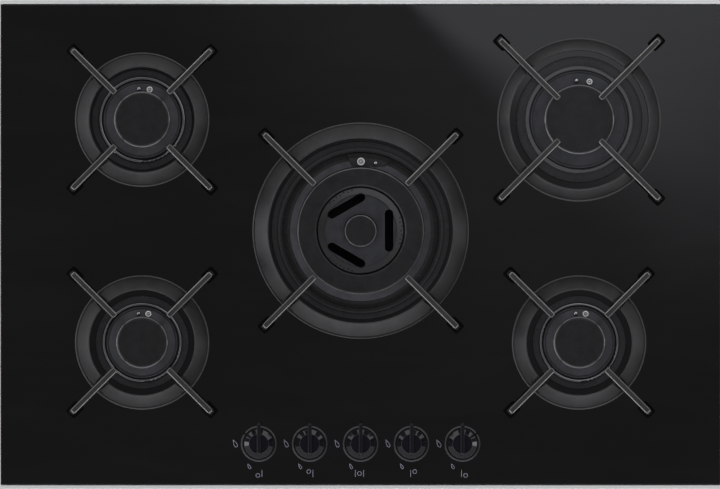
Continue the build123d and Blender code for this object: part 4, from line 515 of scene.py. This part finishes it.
# %% Burner finishes: heights above the glass, radii and widths are in millimetres
BEAD_HEIGHTS = (3.7, 6.2)
# Chrome dulled to enamel: the middle burner's bead fully; the rear right bead partly, as painted shade.
BEAD_DULLING_AND_SHADE = {"wok": 1.0, "rear_right": 0.65}
DULLED_WITHIN = 125.0
RING_FOOT_UP = 1.5
RING_TOP_UP = 20.0
RIM_WIDTH = 1.8
SUPPORT_TOP_UP = (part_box("wok_pan_support")[1].z - GLASS_TOP) / MM
BEVEL_HEIGHT = 5.0
RUBBED_DEPTH = 0.75
BEVEL_SHADE = 0.85
DIM_SIDE_HIGHLIGHT = 0.42
ARM_TONE = 0.60
RIM_TONE = 0.30
SLANTED = (0.20, 0.45, 0.86, 0.96)
# Dark rings of painted shade in the middle burner's recesses, as radius and width.
PAINTED_SHADE_RINGS = {"wok": [(41.5, 9.0), (80.0, 7.5)]}
LID_EDGE_INSET = 1.1
LID_EDGE_WIDTH = 1.1
LIDS = {name: [f"{name}_cap"] for name in SINGLE_RING} | {"wok": ["wok_ring_cap", "wok_centre_cap"]}
PLUG_RIM_UP = 13.1


def at_height(tree, where, low_mm, high_mm, soft_mm=0.15):
    """1 between two heights above the glass, 0 elsewhere. The coordinates start at the glass."""
    heights = (low_mm - soft_mm, low_mm, high_mm, high_mm + soft_mm)
    return band(tree, split(tree, where)["Z"], *(height * MM for height in heights))


def ring_mask(tree, reach, radius_mm, width_mm):
    """1 on a thin circle of one radius."""
    off = function_of(tree, "ABSOLUTE", fold(tree, "SUBTRACT", reach, radius_mm * MM))
    return remap(tree, off, width_mm * 0.65 * MM, width_mm * 0.35 * MM)


def ring_masks(tree, reach, radii_mm, width_mm):
    """1 on thin circles of several radii."""
    return fold(tree, "MAXIMUM", *(ring_mask(tree, reach, radius, width_mm) for radius in radii_mm))


def ring_reach(name):
    """Inner and outer radius of a pan support's ring in metres, from the points of its lower edge."""
    centre = CENTRES[name]
    foot = GLASS_TOP + RING_FOOT_UP * MM
    points = [vertex.co for vertex in NODES[f"{name}_pan_support"].data.vertices if vertex.co.z < foot]
    reaches = [math.hypot(point.x - centre.x, point.y - centre.y) for point in points]
    return min(reaches), max(reaches)


def base_enamel():
    """Black enamel on the burner bases, with the bead polished to a dark chrome."""
    material, tree = new_finish("base_enamel_beaded", Specular_IOR_Level=0.30)
    where = place(tree, GLASS_MIDDLE)
    bead = at_height(tree, where, *BEAD_HEIGHTS)
    near, far = DULLED_WITHIN * MM, (DULLED_WITHIN + 5.0) * MM
    # Painted shade on the rear right bead, by dulling its chrome.
    for name, dulling in BEAD_DULLING_AND_SHADE.items():
        reach = reach_from_axis(tree, place(tree, CENTRES[name]))
        bead = times(tree, bead, remap(tree, reach, far, near, 1.0, 1.0 - dulling))
    height, tone = use(tree, SAND_GRAIN, Vector=where, Scale=700.0)
    enamel = mix(tree, tone, (0.031, 0.031, 0.033), (0.039, 0.039, 0.041))
    # Painted shade: dark rings in the middle burner's recesses.
    for name, rings in PAINTED_SHADE_RINGS.items():
        reach = reach_from_axis(tree, place(tree, CENTRES[name]))
        for radius, width in rings:
            enamel = mix(tree, ring_mask(tree, reach, radius, width), enamel, (0.012, 0.012, 0.012))
    colour = mix(tree, bead, enamel, (0.23, 0.23, 0.24))
    skin = use(tree, UNEVEN_GLOSS, Vector=where, Scale=90.0, Low=0.20, High=0.32)[0]
    gloss = times(tree, skin, remap(tree, bead, 0.0, 1.0, 1.0, 0.45))
    return coat(material, colour, gloss, height, 0.006, Metallic=remap(tree, bead, 0.0, 1.0, 0.0, 0.95))


def crown_casting(name):
    """Bluish cast aluminium of a crown: a turned dish, with dark rings of painted shade on the middle burner.
    """
    material, tree = new_finish("crown_casting", Metallic=0.45)
    where = place(tree, CENTRES[name])
    circles = use(tree, TURNED_LINES, Vector=where, Lines_per_metre=2600.0)[0]
    height, patches = use(tree, SAND_GRAIN, Vector=where, Scale=1200.0)
    tone = remap(tree, plus(tree, times(tree, circles, 0.5), patches), 0.1, 1.3)
    metal = mix(tree, tone, (0.033, 0.034, 0.038), (0.050, 0.051, 0.057))
    worn = use(tree, EDGE_WEAR, Vector=where, Radius=0.0005, Patches=400.0)[0]
    metal = mix(tree, worn, metal, (0.11, 0.11, 0.12))
    # Painted shade: dark rings in the middle burner's recesses.
    for radius, width in PAINTED_SHADE_RINGS.get(name, []):
        painted_shade = ring_mask(tree, reach_from_axis(tree, where), radius, width)
        metal = mix(tree, painted_shade, metal, (0.021, 0.021, 0.022))
    gloss = remap(tree, circles, 0.3, 0.7, 0.46, 0.34)
    return coat(material, metal, gloss, plus(tree, circles, height), 0.010)


def lid_enamel(name):
    """Satin black enamel of a lid: a glossier shoulder with a painted highlight, and a painted shadow below
    it.
    """
    material, tree = new_finish("lid_enamel", Coat_Roughness=0.08, Specular_IOR_Level=0.25)
    where = place(tree, CENTRES[name])
    height, tone = use(tree, SAND_GRAIN, Vector=where, Scale=1500.0)
    circles = use(tree, TURNED_LINES, Vector=where, Lines_per_metre=900.0)[0]
    reach = reach_from_axis(tree, where)
    edges = [outer_radius(lid) - LID_EDGE_INSET for lid in LIDS[name]]
    # Round the shoulder a painted highlight ring, in patches, where a coat also makes it glossier.
    painted_highlight_ring = ring_masks(tree, reach, edges, LID_EDGE_WIDTH)
    # Just outside it a painted shadow ring.
    painted_gap_shadow = ring_masks(tree, reach, [edge + LID_EDGE_WIDTH for edge in edges], LID_EDGE_WIDTH)
    worn = times(tree, painted_highlight_ring, remap(tree, noise(tree, where, 160.0, 4.0), 0.30, 0.60, 0.60, 1.0))
    enamel = mix(tree, tone, (0.0125, 0.0125, 0.0130), (0.0180, 0.0180, 0.0190))
    enamel = mix(tree, painted_gap_shadow, enamel, (0.002, 0.002, 0.002))
    enamel = mix(tree, worn, enamel, (0.105, 0.105, 0.11))
    gloss = use(tree, UNEVEN_GLOSS, Vector=where, Scale=120.0, Low=0.24, High=0.34)[0]
    gloss = times(tree, gloss, remap(tree, circles, 0.3, 0.7, 0.97, 1.03))
    return coat(material, enamel, gloss, height, 0.005, Coat_Weight=remap(tree, worn, 0.0, 0.8, 0.0, 0.9))


def support_iron(name):
    """Matt enamel on cast iron. The arms' top bevels are rubbed glossier by pans and carry a painted
    highlight.

    The painted highlight is stronger on the side of each arm that faces its burner's middle line, front to
    rear. The lower part of each bevel carries painted shade. The ring is painted darker towards its outer
    rim, as painted shade, and its outer lip is painted lighter, as a painted highlight.
    """
    material, tree = new_finish("support_iron", Specular_IOR_Level=0.30)
    where = place(tree, CENTRES[name])
    ring_in, ring_out = ring_reach(name)
    rim_in = ring_out - RIM_WIDTH * MM
    reach = reach_from_axis(tree, where)
    on_ring = at_height(tree, where, 0.0, RING_TOP_UP)
    normal = split(tree, surface_normal(tree))
    slanted = band(tree, normal["Z"], *SLANTED)
    top_edge = at_height(tree, where, SUPPORT_TOP_UP - RUBBED_DEPTH, SUPPORT_TOP_UP)
    bevel = at_height(tree, where, SUPPORT_TOP_UP - BEVEL_HEIGHT, SUPPORT_TOP_UP)
    shaded = times(tree, slanted, fold(tree, "SUBTRACT", bevel, top_edge), BEVEL_SHADE)
    # Painted highlight on the top bevels, stronger on one side of each arm; pans also rub them glossier.
    towards_line = times(tree, normal["Y"], split(tree, where)["Y"])
    pushed = remap(tree, towards_line, -0.01, 0.01, DIM_SIDE_HIGHLIGHT, 1.0)
    speckle = remap(tree, noise(tree, where, 700.0), 0.25, 0.60, 0.60, 1.0)
    rubbed = times(tree, slanted, top_edge, pushed, speckle)
    # The ring painted darker towards its outer rim: painted shade.
    thin = remap(tree, reach, ring_in, rim_in, 1.0, RIM_TONE, shape="LINEAR")
    tone = times(tree, blend(tree, on_ring, ARM_TONE, thin), fold(tree, "SUBTRACT", 1.0, shaded))
    height, patches = use(tree, SAND_GRAIN, Vector=where, Scale=900.0)
    enamel = mix(tree, patches, (0.044, 0.044, 0.045), (0.060, 0.060, 0.061))
    enamel = mix(tree, tone, (0.0, 0.0, 0.0), enamel)
    # The ring's outer lip painted lighter, a painted highlight, joined to the worn edges.
    rim = times(tree, remap(tree, reach, rim_in, rim_in + 0.4 * MM), on_ring)
    worn = use(tree, EDGE_WEAR, Vector=where, Radius=0.0005, Patches=270.0)[0]
    worn = times(tree, fold(tree, "MAXIMUM", worn, rim), on_ring)
    enamel = mix(tree, worn, enamel, (0.070, 0.070, 0.071))
    # The painted highlight on the arms' top bevels.
    colour = mix(tree, rubbed, enamel, (0.34, 0.335, 0.32))
    gloss = use(tree, UNEVEN_GLOSS, Vector=where, Scale=110.0, Low=0.30, High=0.40)[0]
    gloss = times(tree, gloss, remap(tree, rubbed, 0.0, 1.0, 1.0, 0.55))
    return coat(material, colour, gloss, height, 0.008)


def plug_ceramic():
    """White glazed insulator, painted dark in its cup and below its rim: painted shade."""
    material, tree = new_finish("plug_ceramic", Coat_Weight=0.4, Coat_Roughness=0.06)
    where = place(tree, GLASS_MIDDLE)
    speckle = noise(tree, where, 900.0, 4.0)
    # Painted shade on the plug below the top of its rim: in its cup and on its sides.
    heights = (0.0, 4.0, PLUG_RIM_UP - 1.8, PLUG_RIM_UP)
    painted_cup_shade = band(tree, split(tree, where)["Z"], *(height * MM for height in heights))
    glaze = mix(tree, remap(tree, speckle, 0.3, 0.7), (0.94, 0.94, 0.93), (0.99, 0.99, 0.98))
    colour = mix(tree, painted_cup_shade, glaze, (0.40, 0.40, 0.40))
    return coat(material, colour, remap(tree, speckle, 0.3, 0.7, 0.16, 0.28), speckle, 0.004)


# %% [markdown]
# ## Casing, cast and drawn metals
#
# Below the glass lie plainer materials: zinc sheet with its crystals, castings and mouldings with a sandy
# skin, and metals with lines from the die or the roller.

# %% Sheet, cast and drawn finishes


def galvanised_sheet():
    """Zinc-coated steel of the casing: crystals of different tone and gloss."""
    material, tree = new_finish("galvanised_sheet_spangled", Metallic=0.85)
    where = place(tree)
    bend = {"Factor": 0.04, VECTOR_A: where, VECTOR_B: noise(tree, where, 60.0, 2.0)}
    warped = add(tree, "ShaderNodeMix", bend, data_type="VECTOR").outputs[VECTOR_OUT]
    crystals = add(tree, "ShaderNodeTexVoronoi", {"Vector": warped, "Scale": 90.0, "Randomness": 1.0})
    tone, shine, height = add(tree, "ShaderNodeSeparateColor", {0: crystals.outputs["Color"]}).outputs
    zinc = mix(tree, tone, (0.42, 0.43, 0.44), (0.60, 0.61, 0.62))
    zinc = mix(tree, use(tree, DUST, Vector=where, Amount=0.5)[0], zinc, (0.30, 0.29, 0.27))
    return coat(material, zinc, remap(tree, shine, 0.0, 1.0, 0.32, 0.52), height, 0.01)


def cast_finish(
    name, dark, light, gloss, grain, depth_mm, metallic=0.0, specular=0.5, edge=None, edge_mm=0.6, dust=0.0,
):
    """A cast, moulded or foamed skin: grain in relief, patches of tone, lighter worn edges."""
    material, tree = new_finish(name, Metallic=metallic, Specular_IOR_Level=specular)
    where = place(tree)
    height, tone = use(tree, SAND_GRAIN, Vector=where, Scale=grain)
    colour = mix(tree, tone, dark, light)
    if edge is not None:
        worn = use(tree, EDGE_WEAR, Vector=where, Radius=edge_mm * MM, Patches=grain * 0.3)[0]
        colour = mix(tree, worn, colour, edge)
    if dust > 0:
        colour = mix(tree, use(tree, DUST, Vector=where, Amount=dust)[0], colour, (0.16, 0.155, 0.15))
    rough = use(tree, UNEVEN_GLOSS, Vector=where, Scale=grain * 0.12, Low=gloss[0], High=gloss[1])[0]
    return coat(material, colour, rough, height, depth_mm)


def drawn_finish(name, dark, light, gloss, tarnish=None, turn=0.0):
    """Drawn, rolled or turned metal: fine lines along it, and tarnish."""
    material, tree = new_finish(name, Metallic=1.0)
    where = place(tree, turn=turn)
    lines = use(tree, BRUSH_LINES, Vector=where, Scale=1.6)[0]
    colour = mix(tree, remap(tree, lines, 0.3, 0.7), dark, light)
    if tarnish is not None:
        stain = remap(tree, noise(tree, where, 70.0, 5.0, 0.65), 0.48, 0.72)
        colour = mix(tree, stain, colour, tarnish)
    return coat(material, colour, remap(tree, lines, 0.3, 0.7, gloss[1], gloss[0]), lines, 0.008)


# %% [markdown]
# ## Knobs
#
# A knob is moulded in a hard gloss plastic: a cone with a sunk round face and a pointer across it. The face
# is spun, so it shows fine circles and a blue tinge, while the cone is polished. The fixed ring round it is
# a pressed ring in dark chrome.

# %% Knob finish
FACE_RADIUS = 9.9
FACE_UP = 13.6
FACE_SOFT = 0.2


def knob_gloss(name):
    """Gloss black plastic with a spun, bluish face."""
    material, tree = new_finish("knob_gloss", Coat_Roughness=0.03, Specular_IOR_Level=0.22)
    where = place(tree, KNOB_CENTRES[name])
    inside = remap(tree, reach_from_axis(tree, where), FACE_RADIUS * MM, (FACE_RADIUS - FACE_SOFT) * MM)
    below = remap(tree, split(tree, where)["Z"], FACE_UP * MM, (FACE_UP - FACE_SOFT) * MM)
    face = times(tree, inside, below)
    circles = use(tree, TURNED_LINES, Vector=where, Lines_per_metre=4200.0)[0]
    plastic = mix(tree, noise(tree, where, 300.0, 4.0), (0.006, 0.006, 0.008), (0.010, 0.010, 0.013))
    spun = mix(tree, remap(tree, circles, 0.3, 0.7), (0.003, 0.0035, 0.007), (0.006, 0.007, 0.013))
    smear = use(tree, UNEVEN_GLOSS, Vector=where, Scale=140.0, Low=0.06, High=0.13)[0]
    gloss = plus(tree, smear, remap(tree, face, 0.0, 1.0, 0.0, 0.22))
    cone = at_height(tree, where, 0.0, FACE_UP + 0.6)
    polished = times(tree, cone, remap(tree, face, 0.0, 1.0, 1.0, 0.0))
    colour = mix(tree, face, plastic, spun)
    return coat(material, colour, gloss, times(tree, circles, face), 0.010, Coat_Weight=polished)


# %% [markdown]
# ## Dressing the pieces
#
# The CAD nodes keep their own meshes. What changes is the finish in each slot. Finishes with circles are
# made once for each burner or knob, so that the circles run round the right point.

# %% One finish for each slot
PLAIN_FINISHES = {
    "black_glass": black_glass(),
    "brushed_trim": brushed_trim(),
    "base_enamel": base_enamel(),
    "galvanised_sheet": galvanised_sheet(),
    "white_ceramic": plug_ceramic(),
    # The cup casting is near black: painted shade for the dark inside seen through the crown's slots.
    "cast_aluminium": cast_finish(
        "cup_casting_sooted", (0.016, 0.016, 0.017), (0.034, 0.034, 0.036), (0.60, 0.80), 800.0, 0.03,
        metallic=0.3,
    ),
    "foot_rubber": cast_finish(
        "foot_rubber_moulded", (0.0015, 0.0015, 0.0015), (0.003, 0.003, 0.003), (0.75, 0.92), 1600.0, 0.012,
        specular=0.06,
    ),
    "seal_foam": cast_finish(
        "seal_foam_closed", (0.035, 0.035, 0.036), (0.060, 0.060, 0.060), (0.85, 0.97), 1100.0, 0.10,
    ),
    "tap_alloy": cast_finish(
        "tap_alloy_cast", (0.40, 0.40, 0.41), (0.54, 0.54, 0.55), (0.38, 0.55), 1000.0, 0.02,
        metallic=0.9, edge=(0.66, 0.66, 0.67), dust=0.3,
    ),
    "switch_plastic": cast_finish(
        "switch_plastic_moulded", (0.018, 0.018, 0.020), (0.030, 0.030, 0.032), (0.36, 0.50), 1800.0, 0.006,
        edge=(0.06, 0.06, 0.062), edge_mm=0.4, dust=0.3,
    ),
    "lead_silicone": cast_finish(
        "lead_silicone_drawn", (0.33, 0.052, 0.035), (0.45, 0.085, 0.055), (0.40, 0.55), 1300.0, 0.01,
        dust=0.2,
    ),
    "knob_metal": drawn_finish(
        "bezel_dark_chrome", (0.050, 0.050, 0.053), (0.075, 0.075, 0.079), (0.06, 0.12),
    ),
}
# For each slot: what ends the finish's name, dark and light of the metal, its gloss, tarnish and turn.
DRAWN_METALS = {
    "plated_screw": ("zinc", (0.50, 0.50, 0.48), (0.66, 0.66, 0.63), (0.24, 0.40), (0.44, 0.42, 0.34), 0.0),
    "electrode_steel": (
        "bright", (0.62, 0.62, 0.62), (0.82, 0.82, 0.80), (0.16, 0.30), (0.50, 0.47, 0.42), 0.0,
    ),
    "probe_metal": ("tinted", (0.44, 0.44, 0.45), (0.62, 0.62, 0.63), (0.14, 0.26), (0.30, 0.28, 0.27), 0.0),
    "brass": ("tarnished", (0.62, 0.42, 0.16), (0.78, 0.56, 0.24), (0.22, 0.40), (0.36, 0.24, 0.11), 0.0),
    "manifold_steel": ("zinc", (0.48, 0.48, 0.47), (0.64, 0.64, 0.62), (0.28, 0.44), (0.40, 0.37, 0.30), 0.0),
    "tube_aluminium": (
        "drawn", (0.62, 0.63, 0.64), (0.80, 0.80, 0.81), (0.26, 0.42), (0.52, 0.52, 0.52), math.pi / 2,
    ),
    "spindle_steel": (
        "turned", (0.46, 0.46, 0.46), (0.64, 0.64, 0.63), (0.22, 0.38), (0.38, 0.36, 0.32), 0.0,
    ),
}
for slot, (ending, *looks) in DRAWN_METALS.items():
    PLAIN_FINISHES[slot] = drawn_finish(f"{slot}_{ending}", *looks)
CENTRED_FINISHES = {
    "cast_iron": support_iron,
    "crown_aluminium": crown_casting,
    "cap_enamel": lid_enamel,
    "knob_gloss": knob_gloss,
}


def burner_of(node):
    """The burner or knob that a node belongs to, by the start of its name."""
    return next(name for name in BURNERS if node.startswith(name + "_"))


def finish_for(slot, node_name, made):
    """The finish of a slot. Those with circles are kept in made, one for each burner or knob."""
    if slot not in CENTRED_FINISHES:
        return PLAIN_FINISHES.get(slot)
    key = f"{slot}_{burner_of(node_name)}"
    if key not in made:
        made[key] = CENTRED_FINISHES[slot](burner_of(node_name))
        made[key].name = key
    return made[key]


def dress(nodes):
    """Give each slot of the CAD nodes its finish, and count them."""
    made = {}
    count = 0
    for node_name, node in nodes.items():
        for index, entry in enumerate(node.material_slots):
            finish = finish_for(entry.material.name.split(".")[0], node_name, made)
            if finish is not None:
                node.data.materials[index] = finish
                count += 1
    return count


print("dressed", dress(NODES), "slots of", len(NODES), "CAD nodes")

# %% [markdown]
# ## Printed marks
#
# Left of each knob stands a large flame, for full gas, and at its front left a small flame. In front of it
# a little plan shows which burner it feeds: a bar, and a circle on the burner's side. The marks are ink
# lines of even width, so a geometry tree draws each shape as a curve and sweeps a flat profile along it.
# The points that carry the shapes hold two numbers: which mark stands there, and how far it is turned.

# %% Geometry helpers
# The Compare node has its own pair of inputs for whole numbers.
WHOLE_A, WHOLE_B = 2, 3


def attribute(tree, name, kind):
    """What each point carries under a name."""
    return add(tree, "GeometryNodeInputNamedAttribute", {"Name": name}, data_type=kind).outputs["Attribute"]


def stamp(tree, points, shape, **more):
    """Put a shape on each point."""
    values = {"Points": points, "Instance": shape, **more}
    return add(tree, "GeometryNodeInstanceOnPoints", values).outputs[0]


def real_pieces(tree, stamped, material):
    """Join what is stamped, make it real and give it its material."""
    joined = add(tree, "GeometryNodeJoinGeometry")
    for shapes in stamped:
        tree.links.new(shapes, joined.inputs[0])
    real = add(tree, "GeometryNodeRealizeInstances", {0: joined.outputs[0]})
    values = {"Geometry": real.outputs[0], "Material": material}
    return {"Geometry": add(tree, "GeometryNodeSetMaterial", values).outputs[0]}


def geometry_tree(name, sizes, build, material_name):
    """A geometry tree whose inputs are points, sizes and a material."""
    numbers = [(label, "Float", size) for label, size in sizes.items()]
    inputs = [("Geometry", "Geometry", None), *numbers, (material_name, "Material", None)]
    return make_group(name, inputs, build, "Geometry", "GeometryNodeTree")


def carry_points(name, spots, **attributes):
    """An object of loose points with one attribute value for each."""
    mesh = bpy.data.meshes.new(name)
    mesh.from_pydata(spots, [], [])
    for label, values in attributes.items():
        if isinstance(values[0], Vector):
            layer = mesh.attributes.new(label, "FLOAT_VECTOR", "POINT")
            layer.data.foreach_set("vector", [part for value in values for part in value])
        else:
            kind = "INT" if isinstance(values[0], int) else "FLOAT"
            layer = mesh.attributes.new(label, kind, "POINT")
            layer.data.foreach_set("value", values)
    obj = bpy.data.objects.new(name, mesh)
    bpy.context.scene.collection.objects.link(obj)
    return obj


def run_tree(obj, tree, material, values):
    """Set a geometry tree's inputs by their identifiers, and keep what it makes as a plain mesh."""
    modifier = obj.modifiers.new(tree.name, "NODES")
    modifier.node_group = tree
    for item in tree.interface.items_tree:
        if item.in_out == "INPUT" and item.name in values:
            modifier[item.identifier] = values[item.name]
    bpy.context.view_layer.update()
    made = obj.evaluated_get(bpy.context.evaluated_depsgraph_get())
    mesh = bpy.data.meshes.new_from_object(made)
    obj.modifiers.clear()
    obj.data = mesh
    mesh.materials.clear()
    mesh.materials.append(material)
    mesh.polygons.foreach_set("material_index", [0] * len(mesh.polygons))
    mesh.update()


# %% Marks from one tree of curves
INK_WIDTH = 0.60 * MM
INK_THICKNESS = 0.06 * MM
FLAME_TILT = math.radians(27.0)
FLAME_PINCH = 1.6
FLAME_WIDEST = 0.75
LARGE_FLAME, SMALL_FLAME, BAR, CIRCLE = range(4)
FLAME_SIZES = {LARGE_FLAME: (8.6 * MM, 3.5 * MM), SMALL_FLAME: (5.9 * MM, 2.5 * MM)}
LARGE_FLAME_AT = (-25.0, 0.5)
SMALL_FLAME_AT = (-10.3, -23.3)
PLAN_Y = -31.0
PLAN_STEP = 4.3
PLAN_RISE = 2.0
BAR_LENGTH = 7.4 * MM
CIRCLE_RADIUS = 2.0 * MM
PLANS = {
    "front_left": [(BAR, 3.3, 0.0), (CIRCLE, 3.3 - PLAN_STEP, -PLAN_RISE)],
    "rear_left": [(BAR, 3.3, 0.0), (CIRCLE, 3.3 - PLAN_STEP, PLAN_RISE)],
    "wok": [(BAR, -1.2 - PLAN_STEP, 0.0), (CIRCLE, -1.2, 0.0), (BAR, -1.2 + PLAN_STEP, 0.0)],
    "rear_right": [(BAR, -0.9, 0.0), (CIRCLE, -0.9 + PLAN_STEP, PLAN_RISE)],
    "front_right": [(BAR, -0.9, 0.0), (CIRCLE, -0.9 + PLAN_STEP, -PLAN_RISE)],
}


def ring_curve(tree, points, radius):
    """A round curve."""
    values = {"Resolution": points, "Radius": radius}
    return add(tree, "GeometryNodeCurvePrimitiveCircle", values).outputs["Curve"]


def flame_outline(tree, length, width):
    """A closed drop: round below, drawn out to a point above."""
    along = add(tree, "GeometryNodeSplineParameter").outputs["Factor"]
    turn = times(tree, along, 2 * math.pi)
    pinch = fold(tree, "POWER", function_of(tree, "SINE", times(tree, along, math.pi)), FLAME_PINCH)
    x = times(tree, function_of(tree, "SINE", turn), pinch, width / 2 / FLAME_WIDEST)
    y = times(tree, function_of(tree, "COSINE", turn), length / 2)
    spot = add(tree, "ShaderNodeCombineXYZ", {"X": x, "Y": y}).outputs[0]
    values = {"Geometry": ring_curve(tree, 48, 1.0), "Position": spot}
    return add(tree, "GeometryNodeSetPosition", values).outputs["Geometry"]


def bar_outline(tree):
    """A short upright line."""
    ends = {"Start": (0, -BAR_LENGTH / 2, 0), "End": (0, BAR_LENGTH / 2, 0)}
    return add(tree, "GeometryNodeCurvePrimitiveLine", ends).outputs["Curve"]


def build_marks(tree, points, width, thickness, ink_material):
    """Points in, inked shapes out. The attributes kind and turn choose and turn the shape."""
    profile = add(tree, "GeometryNodeCurvePrimitiveQuadrilateral", {"Width": width, "Height": thickness})
    kind = attribute(tree, "kind", "INT")
    spin = add(tree, "ShaderNodeCombineXYZ", {"Z": attribute(tree, "turn", "FLOAT")}).outputs[0]
    outlines = {number: flame_outline(tree, *size) for number, size in FLAME_SIZES.items()}
    outlines |= {BAR: bar_outline(tree), CIRCLE: ring_curve(tree, 40, CIRCLE_RADIUS)}
    stamped = []
    for number, outline in outlines.items():
        level = add(tree, "GeometryNodeSetCurveNormal", {"Curve": outline}, mode="Z_UP").outputs["Curve"]
        sweep = {"Curve": level, "Profile Curve": profile.outputs["Curve"], "Fill Caps": True}
        swept = add(tree, "GeometryNodeCurveToMesh", sweep).outputs["Mesh"]
        pair = {WHOLE_A: kind, WHOLE_B: number}
        chosen = add(tree, "FunctionNodeCompare", pair, data_type="INT", operation="EQUAL").outputs[0]
        stamped.append(stamp(tree, points, swept, Selection=chosen, Rotation=spin))
    return real_pieces(tree, stamped, ink_material)


def print_marks():
    """All the marks of the five knobs as one thin piece on the glass."""
    spots, kinds, turns = [], [], []
    for name, centre in KNOB_CENTRES.items():
        marks = [(LARGE_FLAME, *LARGE_FLAME_AT), (SMALL_FLAME, *SMALL_FLAME_AT)]
        marks += [(kind, x, PLAN_Y + y) for kind, x, y in PLANS[name]]
        for kind, x, y in marks:
            spots.append((centre.x + x * MM, centre.y + y * MM, GLASS_TOP + INK_THICKNESS / 2))
            kinds.append(kind)
            turns.append(FLAME_TILT if kind in FLAME_SIZES else 0.0)
    sizes = {"Line width": INK_WIDTH, "Ink thickness": INK_THICKNESS}
    tree = geometry_tree("printed_marks", sizes, build_marks, "Ink")
    material = ink()
    marks = carry_points("knob_marks", spots, kind=kinds, turn=turns)
    run_tree(marks, tree, material, {"Ink": material, **sizes})
    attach(marks, "root")
    return marks


marks = print_marks()
print("knob marks:", len(marks.data.polygons), "faces, materials", [m.name for m in marks.data.materials])

# %% [markdown]
# ## Screws
#
# The screws are the one place where the working model is plainer than the real thing: their heads are flat
# discs. A geometry tree makes a domed head with a cross recess, and stands one on each spot where the
# working model has a screw, with a shank of that screw's own length.

# %% Screws with a cross recess
HEAD_RADIUS, HEAD_HEIGHT, SHANK_RADIUS = "Head radius", "Head height", "Shank radius"
SCREW_NODES = {"casing_screws": (3.2, 1.8, 1.5), "burner_screws": (3.4, 1.8, 2.0)}
SCREW_SPACING = 12.0 * MM
RIM_SHARE = 0.95
DOME_DROP = 0.30 * MM
RECESS_ARMS = 4.0
RECESS_REACH = 0.34
RECESS_LOBE = 0.17
RECESS_DEPTH = 0.9 * MM
HEAD_MESH = {"Vertices": 48, "Side Segments": 1, "Fill Segments": 14}


def screw_groups(node_name):
    """The points of a CAD node, sorted into one list for each screw."""
    groups = []
    for vertex in NODES[node_name].data.vertices:
        home = next((group for group in groups if (group[0] - vertex.co).length < SCREW_SPACING), None)
        if home is None:
            groups.append([vertex.co.copy()])
        else:
            home.append(vertex.co.copy())
    return groups


def screw_spot(points, head_height):
    """The seat of a screw's head, its direction and its shank's length."""
    low = [min(parts) for parts in zip(*points)]
    high = [max(parts) for parts in zip(*points)]
    size = [high[i] - low[i] for i in range(3)]
    centre = Vector([(high[i] + low[i]) / 2 for i in range(3)])
    along = min(range(3), key=lambda i: abs(size[(i + 1) % 3] - size[(i + 2) % 3]))
    axis = Vector([1.0 if i == along else 0.0 for i in range(3)])
    spread = [((point - centre) - axis * (point - centre).dot(axis)).length for point in points]
    rim = [(point - centre)[along] for point, r in zip(points, spread) if r > RIM_SHARE * max(spread)]
    sign = 1.0 if sum(rim) > 0 else -1.0
    seat = centre + axis * sign * (size[along] / 2 - head_height)
    return seat, axis * sign, size[along] - head_height


def head_shape(tree, radius, height):
    """A disc of many rings, pulled up to a dome and pushed down in a cross."""
    disc = add(tree, "GeometryNodeMeshCylinder", {**HEAD_MESH, "Radius": radius, "Depth": height})
    spot = add(tree, "GeometryNodeInputPosition").outputs[0]
    x, y, z = split(tree, spot)
    share = fold(tree, "DIVIDE", reach_from_axis(tree, spot), radius)
    lobes = function_of(tree, "COSINE", times(tree, fold(tree, "ARCTAN2", y, x), RECESS_ARMS))
    edge = plus(tree, times(tree, lobes, RECESS_LOBE), RECESS_REACH)
    dome = times(tree, share, share, DOME_DROP)
    recess = times(tree, fold(tree, "LESS_THAN", share, edge), RECESS_DEPTH)
    on_top = fold(tree, "GREATER_THAN", z, 0.0)
    lower = times(tree, fold(tree, "MAXIMUM", dome, recess), on_top, -1.0)
    lift = add(tree, "ShaderNodeCombineXYZ", {"Z": plus(tree, lower, times(tree, height, 0.5))}).outputs[0]
    values = {"Geometry": disc.outputs["Mesh"], "Offset": lift}
    return add(tree, "GeometryNodeSetPosition", values).outputs["Geometry"]


def shank_shape(tree, radius):
    """A round shank one metre long below the seat, to be scaled to its length."""
    rod = add(tree, "GeometryNodeMeshCylinder", {"Vertices": 24, "Radius": radius, "Depth": 1.0})
    values = {"Geometry": rod.outputs["Mesh"], "Offset": (0.0, 0.0, -0.5)}
    return add(tree, "GeometryNodeSetPosition", values).outputs["Geometry"]


def build_screws(tree, points, head_radius, head_height, shank_radius, metal):
    """Points in, screws out. The attributes axis and length turn and size each one."""
    axis = attribute(tree, "axis", "FLOAT_VECTOR")
    face = add(tree, "FunctionNodeAlignRotationToVector", {"Vector": axis}, axis="Z").outputs[0]
    stretch = {"X": 1.0, "Y": 1.0, "Z": attribute(tree, "length", "FLOAT")}
    scale = add(tree, "ShaderNodeCombineXYZ", stretch).outputs[0]
    heads = stamp(tree, points, head_shape(tree, head_radius, head_height), Rotation=face)
    shanks = stamp(tree, points, shank_shape(tree, shank_radius), Rotation=face, Scale=scale)
    return real_pieces(tree, [heads, shanks], metal)


def make_screws():
    """Replace each node of plain screws by one piece of recessed screws."""
    defaults = {HEAD_RADIUS: 3.2 * MM, HEAD_HEIGHT: 1.8 * MM, SHANK_RADIUS: 1.5 * MM}
    tree = geometry_tree("recessed_screws", defaults, build_screws, "Metal")
    metal = PLAIN_FINISHES["plated_screw"]
    made = []
    for node_name, sizes in SCREW_NODES.items():
        sizes = {label: size * MM for label, size in zip(defaults, sizes)}
        screws = [screw_spot(points, sizes[HEAD_HEIGHT]) for points in screw_groups(node_name)]
        spots, axes, lengths = zip(*screws)
        piece = carry_points(f"{node_name}_recessed", spots, axis=axes, length=lengths)
        run_tree(piece, tree, metal, {"Metal": metal, **sizes})
        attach(piece, "root")
        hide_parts(node_name)
        made.append(piece)
    return made


for piece in make_screws():
    size = [round(v, 4) for v in piece.dimensions]
    print(piece.name, "faces:", len(piece.data.polygons), "size:", size)
